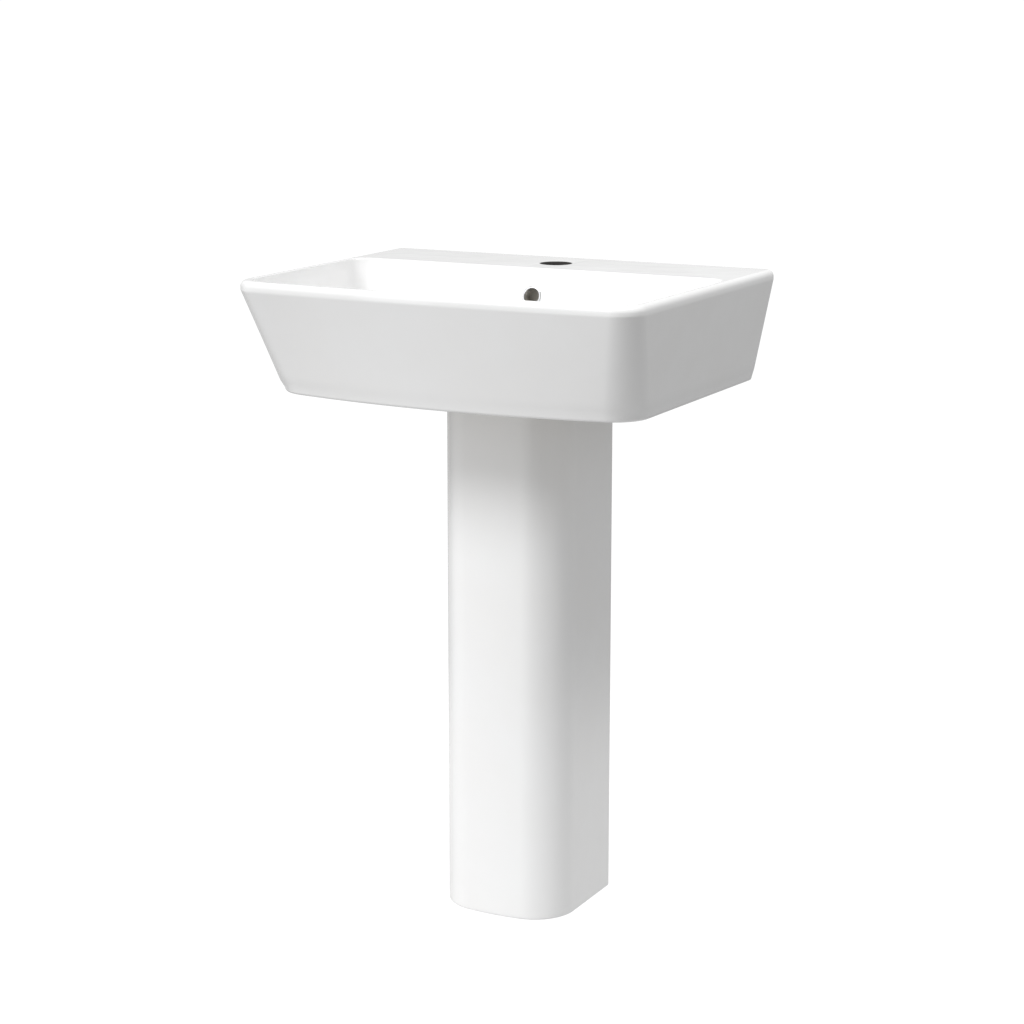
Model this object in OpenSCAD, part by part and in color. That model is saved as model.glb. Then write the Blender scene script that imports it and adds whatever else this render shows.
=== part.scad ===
// Pedestal sink: a ceramic basin on a hollow ceramic pedestal, with its overflow ring,
// a push-button waste and a bottle trap. +Z is up, +Y points at the wall, and the origin
// is on the floor below the middle of the sink. Sizes are in millimetres.

/* [Basin] */
// Width of the basin across its back
basin_w = 550; // [458:1:660]
// Depth of the basin from the wall to its front
basin_d = 425; // [354:1:510]
// Height of the rim above the floor
rim_h = 830; // [690:1:1000]
// Height of the apron, from its lower edge to the rim
apron_h = 144; // [120:1:173]
// How far each side leans in at the foot of the apron
side_lean = 27; // [10:1:40]
// How far the front leans in at the foot of the apron
front_lean = 39; // [15:1:50]
// How much narrower each side is at the front than at the back
plan_taper = 4; // [1:0.5:12]
// Front corner radius at the rim
rim_corner = 36; // [30:1:60]
// Front corner radius at the foot of the apron
foot_corner = 50; // [40:1:70]
// How far the front bows out at the rim
rim_bow = 11; // [4:0.5:20]
// How far the front bows out at the foot of the apron
foot_bow = 29; // [10:0.5:40]
// Radius of the rim's outer edge
rim_round = 9; // [5:0.5:12]
// Thickness of the rim at its sides and front
rim_wall = 12; // [11:0.5:16]
// Thickness of the ceramic under and behind the bowl
shell_wall = 10; // [8:0.5:12]
// Thickness of the tap ledge
ledge_wall = 13; // [10:0.5:16]

/* [Bowl] */
// Depth of the tap ledge, from the wall to the bowl
ledge_d = 126; // [105:1:152]
// Slope of the bowl's back, from upright
back_slope = 16; // [8:1:20]
// Depth of the bowl at its outlet, below the rim
bowl_depth = 112; // [94:1:134]
// Fall of the bowl's floor towards the outlet
floor_fall = 7; // [3:1:12]
// Radius between the bowl's walls and its floor
floor_round = 30; // [20:1:34]
// Radius of the bowl's two back corners
bowl_back_corner = 24; // [15:1:40]
// Radius of the bowl's upper edge
lip_round = 4; // [2:0.5:5]

/* [Tap and overflow holes] */
// Diameter of the tap hole
tap_hole_d = 35; // [29:0.5:42]
// Distance of the tap hole's centre from the wall
tap_from_wall = 68; // [55:1:75]
// Radius of the tap hole's glazed edge
tap_hole_round = 3.5; // [1:0.5:5]
// Diameter of the overflow hole in the ceramic
overflow_hole_d = 23; // [19:0.5:27]
// Depth of the overflow hole's centre below the rim
overflow_drop = 35; // [30:1:45]
// Width of the water way down to the waste
channel_w = 32; // [28:1:40]
// Depth of that water way, front to back
channel_d = 12; // [8:1:16]

/* [Wall fixing] */
// Distance between the two wall bolts
bolt_spacing = 280; // [240:5:320]
// Depth of the wall bolts below the rim
bolt_drop = 72; // [50:1:90]
// Diameter of the wall bolts
bolt_d = 10; // [8:1:12]

/* [Pedestal] */
// Width of the pedestal
pedestal_w = 176.5; // [147:0.5:212]
// Depth of the pedestal, front to back
pedestal_d = 167; // [140:1:200]
// Gap between the pedestal's back edges and the wall
pedestal_gap = 78; // [65:1:94]
// Front corner radius of the pedestal
pedestal_corner = 57; // [45:1:60]
// How far the pedestal's front bows out
pedestal_bow = 12.5; // [6:0.5:16]
// Wall of the pedestal
pedestal_wall = 10; // [8:0.5:12]
// Width of the turned-in edges at its open back
pedestal_lip = 24; // [14:1:30]
// Height of the foot flange inside it
foot_flange_h = 14; // [10:1:20]
// Width of the foot flange
foot_flange_w = 26; // [22:1:32]
// Diameter of its floor screws
floor_screw_d = 6; // [5:0.5:8]

/* [Waste] */
// Distance of the waste outlet from the wall
outlet_from_wall = 197.5; // [185:0.5:215]
// Diameter of the waste hole in the ceramic
waste_hole_d = 45; // [43:0.5:54]
// Height of the ceramic around the waste hole
waste_boss_h = 38; // [34:1:46]
// Gap between the waste tube and its hole
waste_play = 1.75; // [1:0.25:2.5]
// Wall of the waste tube
waste_wall = 2.25; // [1.5:0.25:3]
// Length of the waste tube below the bowl's floor
waste_len = 78; // [72:1:94]
// Travel of the plug from open to shut
plug_travel = 8; // [5:0.5:10]

/* [Trap] */
// Diameter of the waste pipe
pipe_d = 32; // [32:0.5:34]
// Wall of the waste pipe
pipe_wall = 1.8; // [1.4:0.1:2.2]
// Depth of the outlet branch's centre below the bowl's floor
branch_drop = 146; // [140:1:160]
// Depth of the cup's underside below the bowl's floor
cup_drop = 245; // [220:1:290]
// Pitch of the cup's thread
cup_pitch = 3; // [2:0.5:4]

/* [Hidden] */
$fn = 64;

// Clearances
thread_play = 0.3;   // between a thread that turns in use and its nut
seat_play = 0.1;     // between pieces that stay tightened
slide_play = 0.05;   // between the plug's stem and its guide, and round the cartridge's stud
cut = 1;             // how far a cut runs past the face that it opens

// Levels and places
wall_y = basin_d / 2;
floor_z = rim_h - bowl_depth;
foot_z = rim_h - apron_h;
bowl_back_y = wall_y - ledge_d;
outlet_y = wall_y - outlet_from_wall;
boss_z = floor_z - waste_boss_h;
seat_z = floor_z - 16;               // underside of the basin where the pedestal meets it
pedestal_back_y = wall_y - pedestal_gap;
pedestal_front_y = pedestal_back_y - pedestal_d;

// Plan sections. plan() gives a closed outline with sides that narrow to the front, rounded
// corners and a bowed front, clockwise from the middle of the back, always with the same
// number of points.
back_steps = 5;
back_corner_steps = 4;
side_steps = 6;
corner_steps = 8;
bow_steps = 8;
function steps(n, first = 0) = [for (i = [first:n]) i / n];
function arc(x, y, r, from, to, n, first = 0) =
    [for (t = steps(n, first)) let (a = from + (to - from) * t) [x + r * cos(a), y + r * sin(a)]];
function line(p, q, n, first = 0) = [for (t = steps(n, first)) p + (q - p) * t];
function half_plan(back, front, back_y, front_y, corner, bow, back_corner) =
    let (
        k = (back - front) / (back_y - front_y),
        s = sqrt(1 + k * k),
        lean = atan(k),
        bow_r = (front * front + bow * bow) / (2 * bow),
        bow_y = front_y + bow_r,
        a = back - back_y * k - corner * s,
        b = a * k - bow_y,
        c = a * a + bow_y * bow_y - (bow_r - corner) * (bow_r - corner),
        cy = (-b - sqrt(b * b - s * s * c)) / (s * s),
        cx = a + k * cy,
        turn = atan2(cy - bow_y, cx),
        by = back_y - back_corner,
        bx = back - back_corner * k - back_corner * s,
        side_top = [bx + back_corner * cos(-lean), by + back_corner * sin(-lean)],
        side_end = [cx + corner * cos(-lean), cy + corner * sin(-lean)]
    )
    concat(
        line([0, back_y], [bx, back_y], back_steps),
        arc(bx, by, back_corner, 90, -lean, back_corner_steps, 1),
        line(side_top, side_end, side_steps, 1),
        arc(cx, cy, corner, -lean, turn, corner_steps, 1),
        arc(0, bow_y, bow_r, turn, -90, bow_steps, 1));
function whole(half) =
    concat(half, [for (i = [len(half) - 2:-1:1]) [-half[i][0], half[i][1]]]);
function plan(back, front, back_y, front_y, corner, bow, back_corner) =
    whole(half_plan(back, front, back_y, front_y, corner, bow, back_corner));
function at_height(points, z) = [for (p = points) [p[0], p[1], z]];

// A solid skinned over plan sections that are listed from the top down
module skinned(rings) {
    n = len(rings[0]);
    last = len(rings) - 1;
    sides = [for (j = [0:last - 1]) for (i = [0:n - 1])
        let (a = j * n + i, b = j * n + (i + 1) % n) each [[a, a + n, b + n], [a, b + n, b]]];
    // Each end is a fan of triangles from the middle of the front
    top = [for (i = [0:n - 1]) (i + n / 2) % n];
    bottom = [for (i = [n:-1:1]) last * n + (i + n / 2) % n];
    polyhedron([for (r = rings) each r], concat([top], sides, [bottom]), convexity = 8);
}

// Apron: outline at a depth below the rim, drawn in by inset
lean_start = 12;
function lean(d) = max(0, min(1, (d - lean_start) / (apron_h - lean_start)));
function mix(a, b, t) = a + (b - a) * t;
function apron(d, inset, back_inset) =
    let (t = lean(d), half = basin_w / 2 - side_lean * t - inset)
    at_height(plan(half, half - plan_taper * (1 - t), wall_y - back_inset,
        -wall_y + front_lean * t + inset, mix(rim_corner, foot_corner, t) - inset,
        mix(rim_bow, foot_bow, t), 4), rim_h - d);
foot_round = 5;
function apron_outer() = concat(
    [for (a = [0:18:90]) apron(rim_round * (1 - cos(a)), rim_round * (1 - sin(a)),
        0.3 * rim_round * (1 - sin(a)))],
    [for (t = steps(5)) apron(mix(lean_start, apron_h - foot_round, t), 0, 0)],
    [for (a = [30:30:90]) apron(apron_h - foot_round * (1 - sin(a)), foot_round * (1 - cos(a)), 0)]);
function hollow_under() =
    [for (d = [ledge_wall, mix(ledge_wall, apron_h, 0.5), apron_h + cut])
        apron(d, shell_wall + 1, shell_wall)];

// Bowl: sections from the rim to the outlet, all moved out by grow to give its outer skin
recess_r = 33;
recess_d = 4;
recess_land = 1.5;   // flat ring of floor around the recess
back_pull = 0.4;     // share of the floor radius that the bowl's back takes
flat_d = bowl_depth - floor_fall;
bend_d = flat_d - floor_round;
function bowl_plan(d, inset, grow) =
    let (t = lean(d), half = basin_w / 2 - rim_wall - side_lean * t - inset + grow,
        pull = inset < 0 ? inset : inset * back_pull)
    plan(half, half - plan_taper * (1 - t), bowl_back_y - tan(back_slope) * min(d, bend_d)
        - pull + grow, -wall_y + rim_wall + front_lean * t + inset - grow,
        mix(rim_corner, foot_corner, t) - rim_wall + 8 + grow, mix(rim_bow, foot_bow, t),
        bowl_back_corner + grow);
function bowl_bend(grow) =
    [for (a = [15:15:90]) at_height(bowl_plan(bend_d + floor_round * sin(a),
        floor_round * (1 - cos(a)), grow), rim_h - bend_d - (floor_round + grow) * sin(a))];
function bowl_floor(grow) =
    let (edge = bowl_plan(flat_d, floor_round, grow))
    [for (t = [0.33, 0.67, 1]) [for (p = edge)
        let (away = atan2(p[1] - outlet_y, p[0]), r = recess_r + recess_land + grow / 2,
            q = [r * cos(away), outlet_y + r * sin(away)])
        [mix(p[0], q[0], t), mix(p[1], q[1], t), rim_h - mix(flat_d, bowl_depth, t) - grow]]];
function bowl_inner() = concat(
    [at_height(bowl_plan(0, -lip_round, 0), rim_h + 0.01)],
    [for (a = [60:-30:0]) at_height(bowl_plan(0, -lip_round * (1 - cos(a)), 0),
        rim_h - lip_round * (1 - sin(a)))],
    [for (t = [0.15, 0.4, 0.7, 1]) at_height(bowl_plan(bend_d * t, 0, 0), rim_h - bend_d * t)],
    bowl_bend(0), bowl_floor(0));
function bowl_skin() = concat(
    [for (t = [0, 0.5, 1]) let (d = mix(ledge_wall - cut, bend_d, t))
        at_height(bowl_plan(d, 0, shell_wall), rim_h - d)],
    bowl_bend(shell_wall), bowl_floor(shell_wall));

// Overflow: a sloping water way behind the bowl's back that opens into the waste hole
chamber_top = floor_z - 14;
chamber_bottom = floor_z - 28;
channel_top = rim_h - overflow_drop + overflow_hole_d / 2 + 1;
channel_wall = 8;
channel_run_in = 4;  // how far the water way reaches into the waste hole
function behind_bowl(z, gap) = bowl_back_y - tan(back_slope) * min(rim_h - z, bend_d) + gap;
module water_way(grow) {
    foot_y = behind_bowl(chamber_top, shell_wall + channel_d) + grow;
    near_y = outlet_y + waste_hole_d / 2 - channel_run_in;
    translate([-channel_w / 2 - grow, 0, 0]) rotate([90, 0, 90])
        linear_extrude(channel_w + 2 * grow) polygon([
            [behind_bowl(channel_top, shell_wall) - grow, channel_top + grow],
            [behind_bowl(channel_top, shell_wall + channel_d) + grow, channel_top + grow],
            [foot_y, rim_h - bend_d],
            [foot_y, chamber_bottom - grow],
            [near_y, chamber_bottom - grow],
            [near_y, chamber_top + grow],
            [behind_bowl(chamber_top, shell_wall) - grow, chamber_top + grow],
            [behind_bowl(chamber_top, shell_wall) - grow, rim_h - bend_d]]);
}
overflow_reach = shell_wall + 4;     // how far its hole is cut each way from the bowl's back
overflow_z = rim_h - overflow_drop;
overflow_y = behind_bowl(overflow_z, 0);
module at_overflow() {
    translate([0, overflow_y, overflow_z]) rotate([90 - back_slope, 0, 0]) children();
}

// Pedestal outline, drawn in by inset
function pedestal_plan(inset) = plan(pedestal_w / 2 - inset, pedestal_w / 2 - inset - 0.01,
    pedestal_back_y - inset, pedestal_front_y + inset, pedestal_corner - inset, pedestal_bow,
    3);

// Wall bolts
collar_wall = 2;
collar_r = bolt_d / 2 + 0.25 + collar_wall;
bolt_z = rim_h - bolt_drop;
module at_wall_bolts(y) {
    for (side = [-1, 1])
        translate([side * bolt_spacing / 2, y, bolt_z]) rotate([90, 0, 0]) children();
}

seat_rib = 14;       // width of the ribs that stand on the pedestal
seat_rib_h = 30;
seat_overhang = 3;   // how far the ribs stand proud of the pedestal
seat_back_gap = 16;  // the rib's arc stops this far in front of the pedestal's back
boss_wall = 10;      // ceramic round the waste hole
boss_r = waste_hole_d / 2 + boss_wall;
module seat_ribs() {
    translate([0, 0, seat_z]) linear_extrude(seat_rib_h) difference() {
        intersection() {
            polygon(pedestal_plan(-seat_overhang));
            translate([-basin_w / 2, pedestal_back_y - seat_back_gap - pedestal_d])
                square([basin_w, pedestal_d]);
        }
        polygon(pedestal_plan(seat_rib));
        translate([-pedestal_w / 2 + seat_rib, outlet_y])
            square([pedestal_w - 2 * seat_rib, wall_y - outlet_y]);
    }
    arm_w = seat_rib - seat_overhang;
    for (side = [-1, 1])
        translate([side * (pedestal_w / 2 - arm_w / 2 - seat_overhang) - arm_w / 2, outlet_y, seat_z])
            cube([arm_w, wall_y - shell_wall + cut - outlet_y, seat_rib_h]);
}

module basin() {
    color("white") difference() {
        union() {
            difference() {
                skinned(apron_outer());
                skinned(hollow_under());
            }
            skinned(bowl_skin());
            seat_ribs();
            water_way(channel_wall);
            translate([0, outlet_y, boss_z]) cylinder(h = waste_boss_h - recess_d, r = boss_r);
        }
        skinned(bowl_inner());
        water_way(0);
        translate([0, outlet_y, boss_z - cut])
            cylinder(h = waste_boss_h + 2 * cut, d = waste_hole_d);
        translate([0, outlet_y, floor_z - recess_d]) cylinder(h = recess_d + cut, r = recess_r);
        at_overflow() translate([0, 0, -overflow_reach])
            cylinder(h = 2 * overflow_reach, d = overflow_hole_d);
        translate([0, wall_y - tap_from_wall, rim_h - ledge_wall - cut])
            cylinder(h = ledge_wall + 2 * cut, d = tap_hole_d);
        translate([0, wall_y - tap_from_wall, rim_h]) tap_hole_edge();
        at_wall_bolts(wall_y + cut) cylinder(h = shell_wall + 2 * cut, r = collar_r + seat_play);
    }
}

module tap_hole_edge() {
    r = tap_hole_d / 2 + tap_hole_round;
    rotate_extrude() difference() {
        translate([0, -tap_hole_round]) square([r, tap_hole_round + cut]);
        translate([r, -tap_hole_round]) circle(tap_hole_round);
    }
}

// Pedestal: an upright shell with an open back, turned-in edges, a foot flange with two screw
// holes and one rib across the back
rib_z = 250;
rib_h = 30;
screw_back = 62;     // distance of the floor screws in front of the pedestal's back edges
module pedestal_hollow(from, to) {
    inner_w = pedestal_w - 2 * pedestal_wall;
    mouth_w = inner_w - 2 * (pedestal_lip - pedestal_wall);
    translate([0, 0, from]) linear_extrude(to - from) {
        difference() {
            polygon(pedestal_plan(pedestal_wall));
            translate([-pedestal_w / 2, pedestal_back_y - pedestal_wall])
                square([pedestal_w, pedestal_wall]);
        }
        translate([-mouth_w / 2, pedestal_back_y - pedestal_wall - cut])
            square([mouth_w, pedestal_wall + 2 * cut]);
    }
}
module pedestal() {
    hole_x = pedestal_w / 2 - pedestal_wall - foot_flange_w / 2 + 1;
    color("white") difference() {
        linear_extrude(seat_z) polygon(pedestal_plan(0));
        pedestal_hollow(foot_flange_h, rib_z);
        pedestal_hollow(rib_z + rib_h, seat_z + cut);
        translate([0, 0, rib_z - cut]) linear_extrude(rib_h + 2 * cut) intersection() {
            polygon(pedestal_plan(pedestal_wall));
            translate([-pedestal_w / 2, pedestal_front_y])
                square([pedestal_w, pedestal_d - pedestal_wall]);
        }
        translate([0, 0, -cut]) linear_extrude(foot_flange_h + 2 * cut) {
            inner_half = pedestal_w / 2 - pedestal_wall - foot_flange_w;
            front = pedestal_front_y + pedestal_wall + foot_flange_w;
            translate([-inner_half, front])
                square([2 * inner_half, pedestal_back_y - front + cut]);
        }
        for (side = [-1, 1])
            translate([side * hole_x, pedestal_back_y - screw_back, -cut])
                cylinder(h = foot_flange_h + 2 * cut, d = floor_screw_d + 1);
    }
}

// Overflow ring: a chromed flange with a short sleeve that clips into the ceramic
ring_flange_r = overflow_hole_d / 2 + 1.6;
ring_sleeve_r = overflow_hole_d / 2 - 0.3;
ring_bore_r = ring_sleeve_r - 0.9;
ring_flange_t = 1.6;
ring_sleeve_l = 9;
module overflow_ring() {
    color("silver") at_overflow() rotate_extrude() {
        difference() {
            translate([ring_bore_r, 0]) square([ring_flange_r - ring_bore_r, ring_flange_t]);
            translate([ring_flange_r, ring_flange_t]) rotate(45) square(1, center = true);
        }
        translate([ring_bore_r, -ring_sleeve_l])
            square([ring_sleeve_r - ring_bore_r, ring_sleeve_l + ring_flange_t / 2]);
    }
}

// Wall bolt collars: nylon top hats that keep the bolts off the ceramic
collar_flange_r = collar_r + 7;
collar_flange_t = 3;
module wall_bolt_collars() {
    color("ivory") at_wall_bolts(wall_y) difference() {
        union() {
            cylinder(h = shell_wall + collar_flange_t, r = collar_r);
            translate([0, 0, shell_wall]) cylinder(h = collar_flange_t, r = collar_flange_r);
        }
        translate([0, 0, -cut])
            cylinder(h = shell_wall + collar_flange_t + 2 * cut, r = bolt_d / 2 + 0.25);
    }
}

// Waste. Everything on its axis is drawn with the bowl's floor at height 0.
module at_outlet(z = 0) {
    translate([0, outlet_y, floor_z + z]) children();
}
module tube(outer, inner, top, bottom) {
    translate([0, 0, bottom]) difference() {
        cylinder(h = top - bottom, r = outer);
        translate([0, 0, -cut]) cylinder(h = top - bottom + 2 * cut, r = inner);
    }
}
// A round nut: threaded below its inner lip, with grip ribs around it
rib_r = 1.6;         // grip ribs, and how far they stop short of the nut's end
rib_stop = 2;
module ribbed_nut(outer, thread_r, lip_r, height, lip_t, ribs) {
    difference() {
        union() {
            cylinder(h = height, r = outer);
            for (i = [1:ribs])
                rotate(i * 360 / ribs) translate([outer, 0, 0])
                    cylinder(h = height - rib_stop, r = rib_r, $fn = 24);
        }
        translate([0, 0, -cut]) cylinder(h = height - lip_t + cut, r = thread_r);
        translate([0, 0, -cut]) cylinder(h = height + 2 * cut, r = lip_r);
    }
}

flange_r = recess_r - 1.5;
flange_seal_t = 1.2;
flange_t = recess_d - flange_seal_t;
waste_r = waste_hole_d / 2 - waste_play;
waste_inner_r = waste_r - waste_wall;
mouth_r = waste_inner_r + 5.5;
web_top = -50;       // cross web that carries the plug's cartridge
web_h = 8;
web_arm = 3;         // thickness of its arms and of the wall round its hole
stud_r = 4;
slot_w = 14;
slot_top = -15;
slot_bottom = -27;
module waste_body() {
    color("silver") at_outlet() {
        difference() {
            union() {
                translate([0, 0, -flange_t]) cylinder(h = flange_t, r = flange_r);
                translate([0, 0, -waste_len]) cylinder(h = waste_len, r = waste_r);
            }
            translate([0, 0, -waste_len - cut]) cylinder(h = waste_len + 2 * cut, r = waste_inner_r);
            translate([0, 0, -mouth_r + waste_inner_r])
                cylinder(h = mouth_r - waste_inner_r + 0.01, r1 = waste_inner_r, r2 = mouth_r + 0.01);
            for (turn = [0, 90])
                rotate(turn + 45) translate([-waste_r - cut, -slot_w / 2, slot_bottom])
                    cube([2 * waste_r + 2 * cut, slot_w, slot_top - slot_bottom]);
        }
        difference() {
            translate([0, 0, web_top - web_h]) union() {
                cylinder(h = web_h, r = stud_r + web_arm);
                for (turn = [0, 120, 240])
                    rotate(turn) translate([0, -web_arm / 2, 0])
                        cube([waste_inner_r + 0.5, web_arm, web_h]);
            }
            translate([0, 0, web_top - web_h - cut])
                cylinder(h = web_h + 2 * cut, r = stud_r + slide_play);
        }
    }
}
module waste_flange_seal() {
    color("dimgray") at_outlet() tube(flange_r - 1, waste_r + 0.2, -flange_t, -recess_d);
}

// Below the basin: cone seal, slip washer and backnut
cone_seal_t = 5;
slip_washer_t = 1.5;
backnut_h = 9;
under_r = boss_r - 2;
cone_top = -waste_boss_h;
slip_top = cone_top - cone_seal_t;
backnut_top = slip_top - slip_washer_t;
module waste_cone_seal() {
    color("dimgray") at_outlet() rotate_extrude() polygon([
        [waste_r + seat_play, cone_top - cone_seal_t], [under_r, cone_top - cone_seal_t],
        [under_r, cone_top - 1.5], [under_r - 3, cone_top], [waste_r + seat_play, cone_top]]);
}
module waste_slip_washer() {
    color("ivory") at_outlet() tube(under_r, waste_r + seat_play, slip_top, backnut_top);
}
module waste_backnut() {
    color("gold") at_outlet(backnut_top - backnut_h) difference() {
        cylinder(h = backnut_h, r = under_r - 1, $fn = 6);
        translate([0, 0, -cut]) cylinder(h = backnut_h + 2 * cut, r = waste_r + seat_play);
    }
}

// Plug, drawn open: the cap stands above the mouth by its travel
cap_r = mouth_r - 2.5;
cap_under = -1;      // underside of the cap when shut
cap_rim_t = 2;
cap_dome = 3.5;
seal_t = 2.2;
seal_r = mouth_r + cap_under - seal_t - 0.5;
stem_r = 3.5;
collar_top_shut = -24.3;
stem_collar_r = 6;
stem_collar_t = 3;
dome_r = (cap_r * cap_r + cap_dome * cap_dome) / (2 * cap_dome);
module plug_cap() {
    rise = cap_rim_t + cap_dome - dome_r;
    color("silver") at_outlet(plug_travel + cap_under) rotate_extrude($fn = 96) polygon(
        concat([[0, 0], [cap_r, 0]], arc(0, rise, dome_r, acos(cap_r / dome_r), 90, 10)));
}
module plug_seal() {
    color("dimgray") at_outlet(plug_travel + cap_under - seal_t) difference() {
        cylinder(h = seal_t, r1 = seal_r - 0.3, r2 = seal_r);
        translate([0, 0, -cut]) cylinder(h = seal_t + 2 * cut, r = stem_r + seat_play);
    }
}
module plug_stem() {
    top = cap_under;
    color("gold") at_outlet(plug_travel) {
        translate([0, 0, collar_top_shut - stem_collar_t])
            cylinder(h = stem_collar_t, r = stem_collar_r);
        translate([0, 0, collar_top_shut - stem_collar_t])
            cylinder(h = top - collar_top_shut + stem_collar_t, r = stem_r);
    }
}

// Cartridge: a cup screwed into the waste's web, with a cap that guides the stem
cartridge_r = 8.5;
cartridge_inner_r = 6.8;
cartridge_top = collar_top_shut + plug_travel + thread_play;
cartridge_cap_t = 4;
cartridge_floor = web_top + 3;
module plug_cartridge() {
    color("gray") at_outlet() {
        tube(cartridge_r, cartridge_inner_r, cartridge_top, cartridge_floor);
        translate([0, 0, web_top])
            cylinder(h = cartridge_floor - web_top, r = cartridge_r);
        translate([0, 0, web_top - web_h - 2]) cylinder(h = web_h + 2, r = stud_r);
    }
}
module plug_cartridge_cap() {
    color("dimgray") at_outlet()
        tube(cartridge_r, stem_r + slide_play, cartridge_top + cartridge_cap_t, cartridge_top);
}

// Spring under the stem's collar: a round wire wound in a helix
spring_r = 5.2;
spring_wire = 0.9;
spring_turns = 8;
spring_sides = 8;
spring_steps = 20;
module plug_spring() {
    low = cartridge_floor + spring_wire / 2 + 0.05;
    high = collar_top_shut + plug_travel - stem_collar_t - spring_wire / 2 - 0.05;
    rings = [for (i = [0:spring_turns * spring_steps])
        let (a = i * 360 / spring_steps, z = mix(low, high, i / (spring_turns * spring_steps)))
        [for (k = [spring_sides:-1:1]) let (b = k * 360 / spring_sides,
            r = spring_r + cos(b) * spring_wire / 2)
            [r * cos(a), r * sin(a), z + sin(b) * spring_wire / 2]]];
    color("silver") at_outlet() strip(rings);
}
module strip(rings) {
    n = len(rings[0]);
    last = len(rings) - 1;
    sides = [for (j = [0:last - 1]) for (i = [0:n - 1])
        let (a = j * n + i, b = j * n + (i + 1) % n) each [[a, b, b + n], [a, b + n, a + n]]];
    first_end = [for (i = [n - 1:-1:0]) i];
    last_end = [for (i = [0:n - 1]) last * n + i];
    polyhedron([for (r = rings) each r], concat([first_end], sides, [last_end]), convexity = 8);
}

// Bottle trap
pipe_r = pipe_d / 2;
pipe_inner_r = pipe_r - pipe_wall;
neck_r = pipe_r + 5.5;
nut_wall = 4.5;
nut_lip = 3;
inlet_seal_t = 2.5;
collar_t = 2.5;
inlet_seal_top = -waste_len;
dip_top = inlet_seal_top - inlet_seal_t;
inlet_nut_bottom = dip_top - collar_t - nut_lip;
inlet_nut_h = 26;
module trap_inlet_nut() {
    // The lip is at the bottom, so the nut is drawn upside down
    color("white") at_outlet(inlet_nut_bottom + inlet_nut_h) mirror([0, 0, 1])
        ribbed_nut(waste_r + nut_wall, waste_r + seat_play, pipe_r + 0.4,
            inlet_nut_h, nut_lip, 16);
}
module trap_inlet_seal() {
    color("dimgray") at_outlet() tube(waste_r - 0.5, pipe_inner_r, inlet_seal_top, dip_top);
}
body_rise = 24;      // the trap's body above and below the branch's centre, and its neck
body_fall = 40;
neck_h = 16;
body_top = -branch_drop + body_rise;
neck_top = body_top + neck_h;
neck_seal_t = 5;
neck_grip = 13;      // how far a nut reaches over the neck
body_r = 27;
body_wall = 2.7;
body_roof = 4;       // thickness of its top
body_ring = [29.5, 3];               // radius and height of the ring above its thread
thread_len = 12;
skirt_bottom = -branch_drop - body_fall;
cup_seal_t = 2.5;
cup_wall = 3.4;
cup_inner_r = body_r - 2.5;
dip_gap = 22;        // from the cup's underside up to the foot of the dip tube
dip_bottom = -cup_drop + dip_gap;
module trap_dip_tube() {
    color("white") at_outlet() difference() {
        union() {
            translate([0, 0, dip_top - collar_t]) cylinder(h = collar_t, r = waste_r - 0.5);
            translate([0, 0, dip_bottom]) cylinder(h = dip_top - dip_bottom, r = pipe_r);
        }
        translate([0, 0, dip_bottom - cut])
            cylinder(h = dip_top - dip_bottom + 2 * cut, r = pipe_inner_r);
    }
}
neck_ribs = 14;
module neck_nut() {
    ribbed_nut(neck_r + nut_wall + 0.5, neck_r + seat_play, pipe_r + 0.4,
        neck_grip + neck_seal_t + nut_lip, nut_lip, neck_ribs);
}
module neck_seal() {
    rotate_extrude() polygon([[pipe_r + 0.05, 0], [neck_r - 0.3, 0], [neck_r - 0.3, 2],
        [pipe_r + 2, neck_seal_t], [pipe_r + 0.05, neck_seal_t]]);
}
module trap_neck_nut() {
    color("white") at_outlet(neck_top - neck_grip) neck_nut();
}
module trap_neck_seal() {
    color("dimgray") at_outlet(neck_top) neck_seal();
}
branch_len = 48;
module along_branch(y) {
    translate([0, outlet_y + y, floor_z - branch_drop]) rotate([-90, 0, 0]) children();
}
module trap_body() {
    color("white") difference() {
        union() {
            at_outlet() {
                translate([0, 0, skirt_bottom]) cylinder(h = body_top - skirt_bottom, r = body_r);
                translate([0, 0, body_top]) cylinder(h = neck_top - body_top, r = neck_r);
                translate([0, 0, skirt_bottom + thread_len + 2 + cup_seal_t])
                    cylinder(h = body_ring[1], r = body_ring[0]);
            }
            along_branch(0) cylinder(h = branch_len, r = neck_r);
        }
        at_outlet() {
            translate([0, 0, skirt_bottom - cut])
                cylinder(h = body_top - body_roof - skirt_bottom + cut, r = body_r - body_wall);
            translate([0, 0, body_top - body_roof - cut])
                cylinder(h = neck_h + body_roof + 2 * cut, r = pipe_r + seat_play);
        }
        along_branch(0) cylinder(h = branch_len + cut, r = pipe_r + seat_play);
    }
}
module trap_cup_seal() {
    color("dimgray") at_outlet()
        tube(body_r - 0.2, cup_inner_r, skirt_bottom - 0.3, skirt_bottom - cup_seal_t);
}
grip_ribs = 12;
grip_rib_r = 1.5;
cup_step = 6;        // the wide upper part reaches this far below the seal
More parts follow.
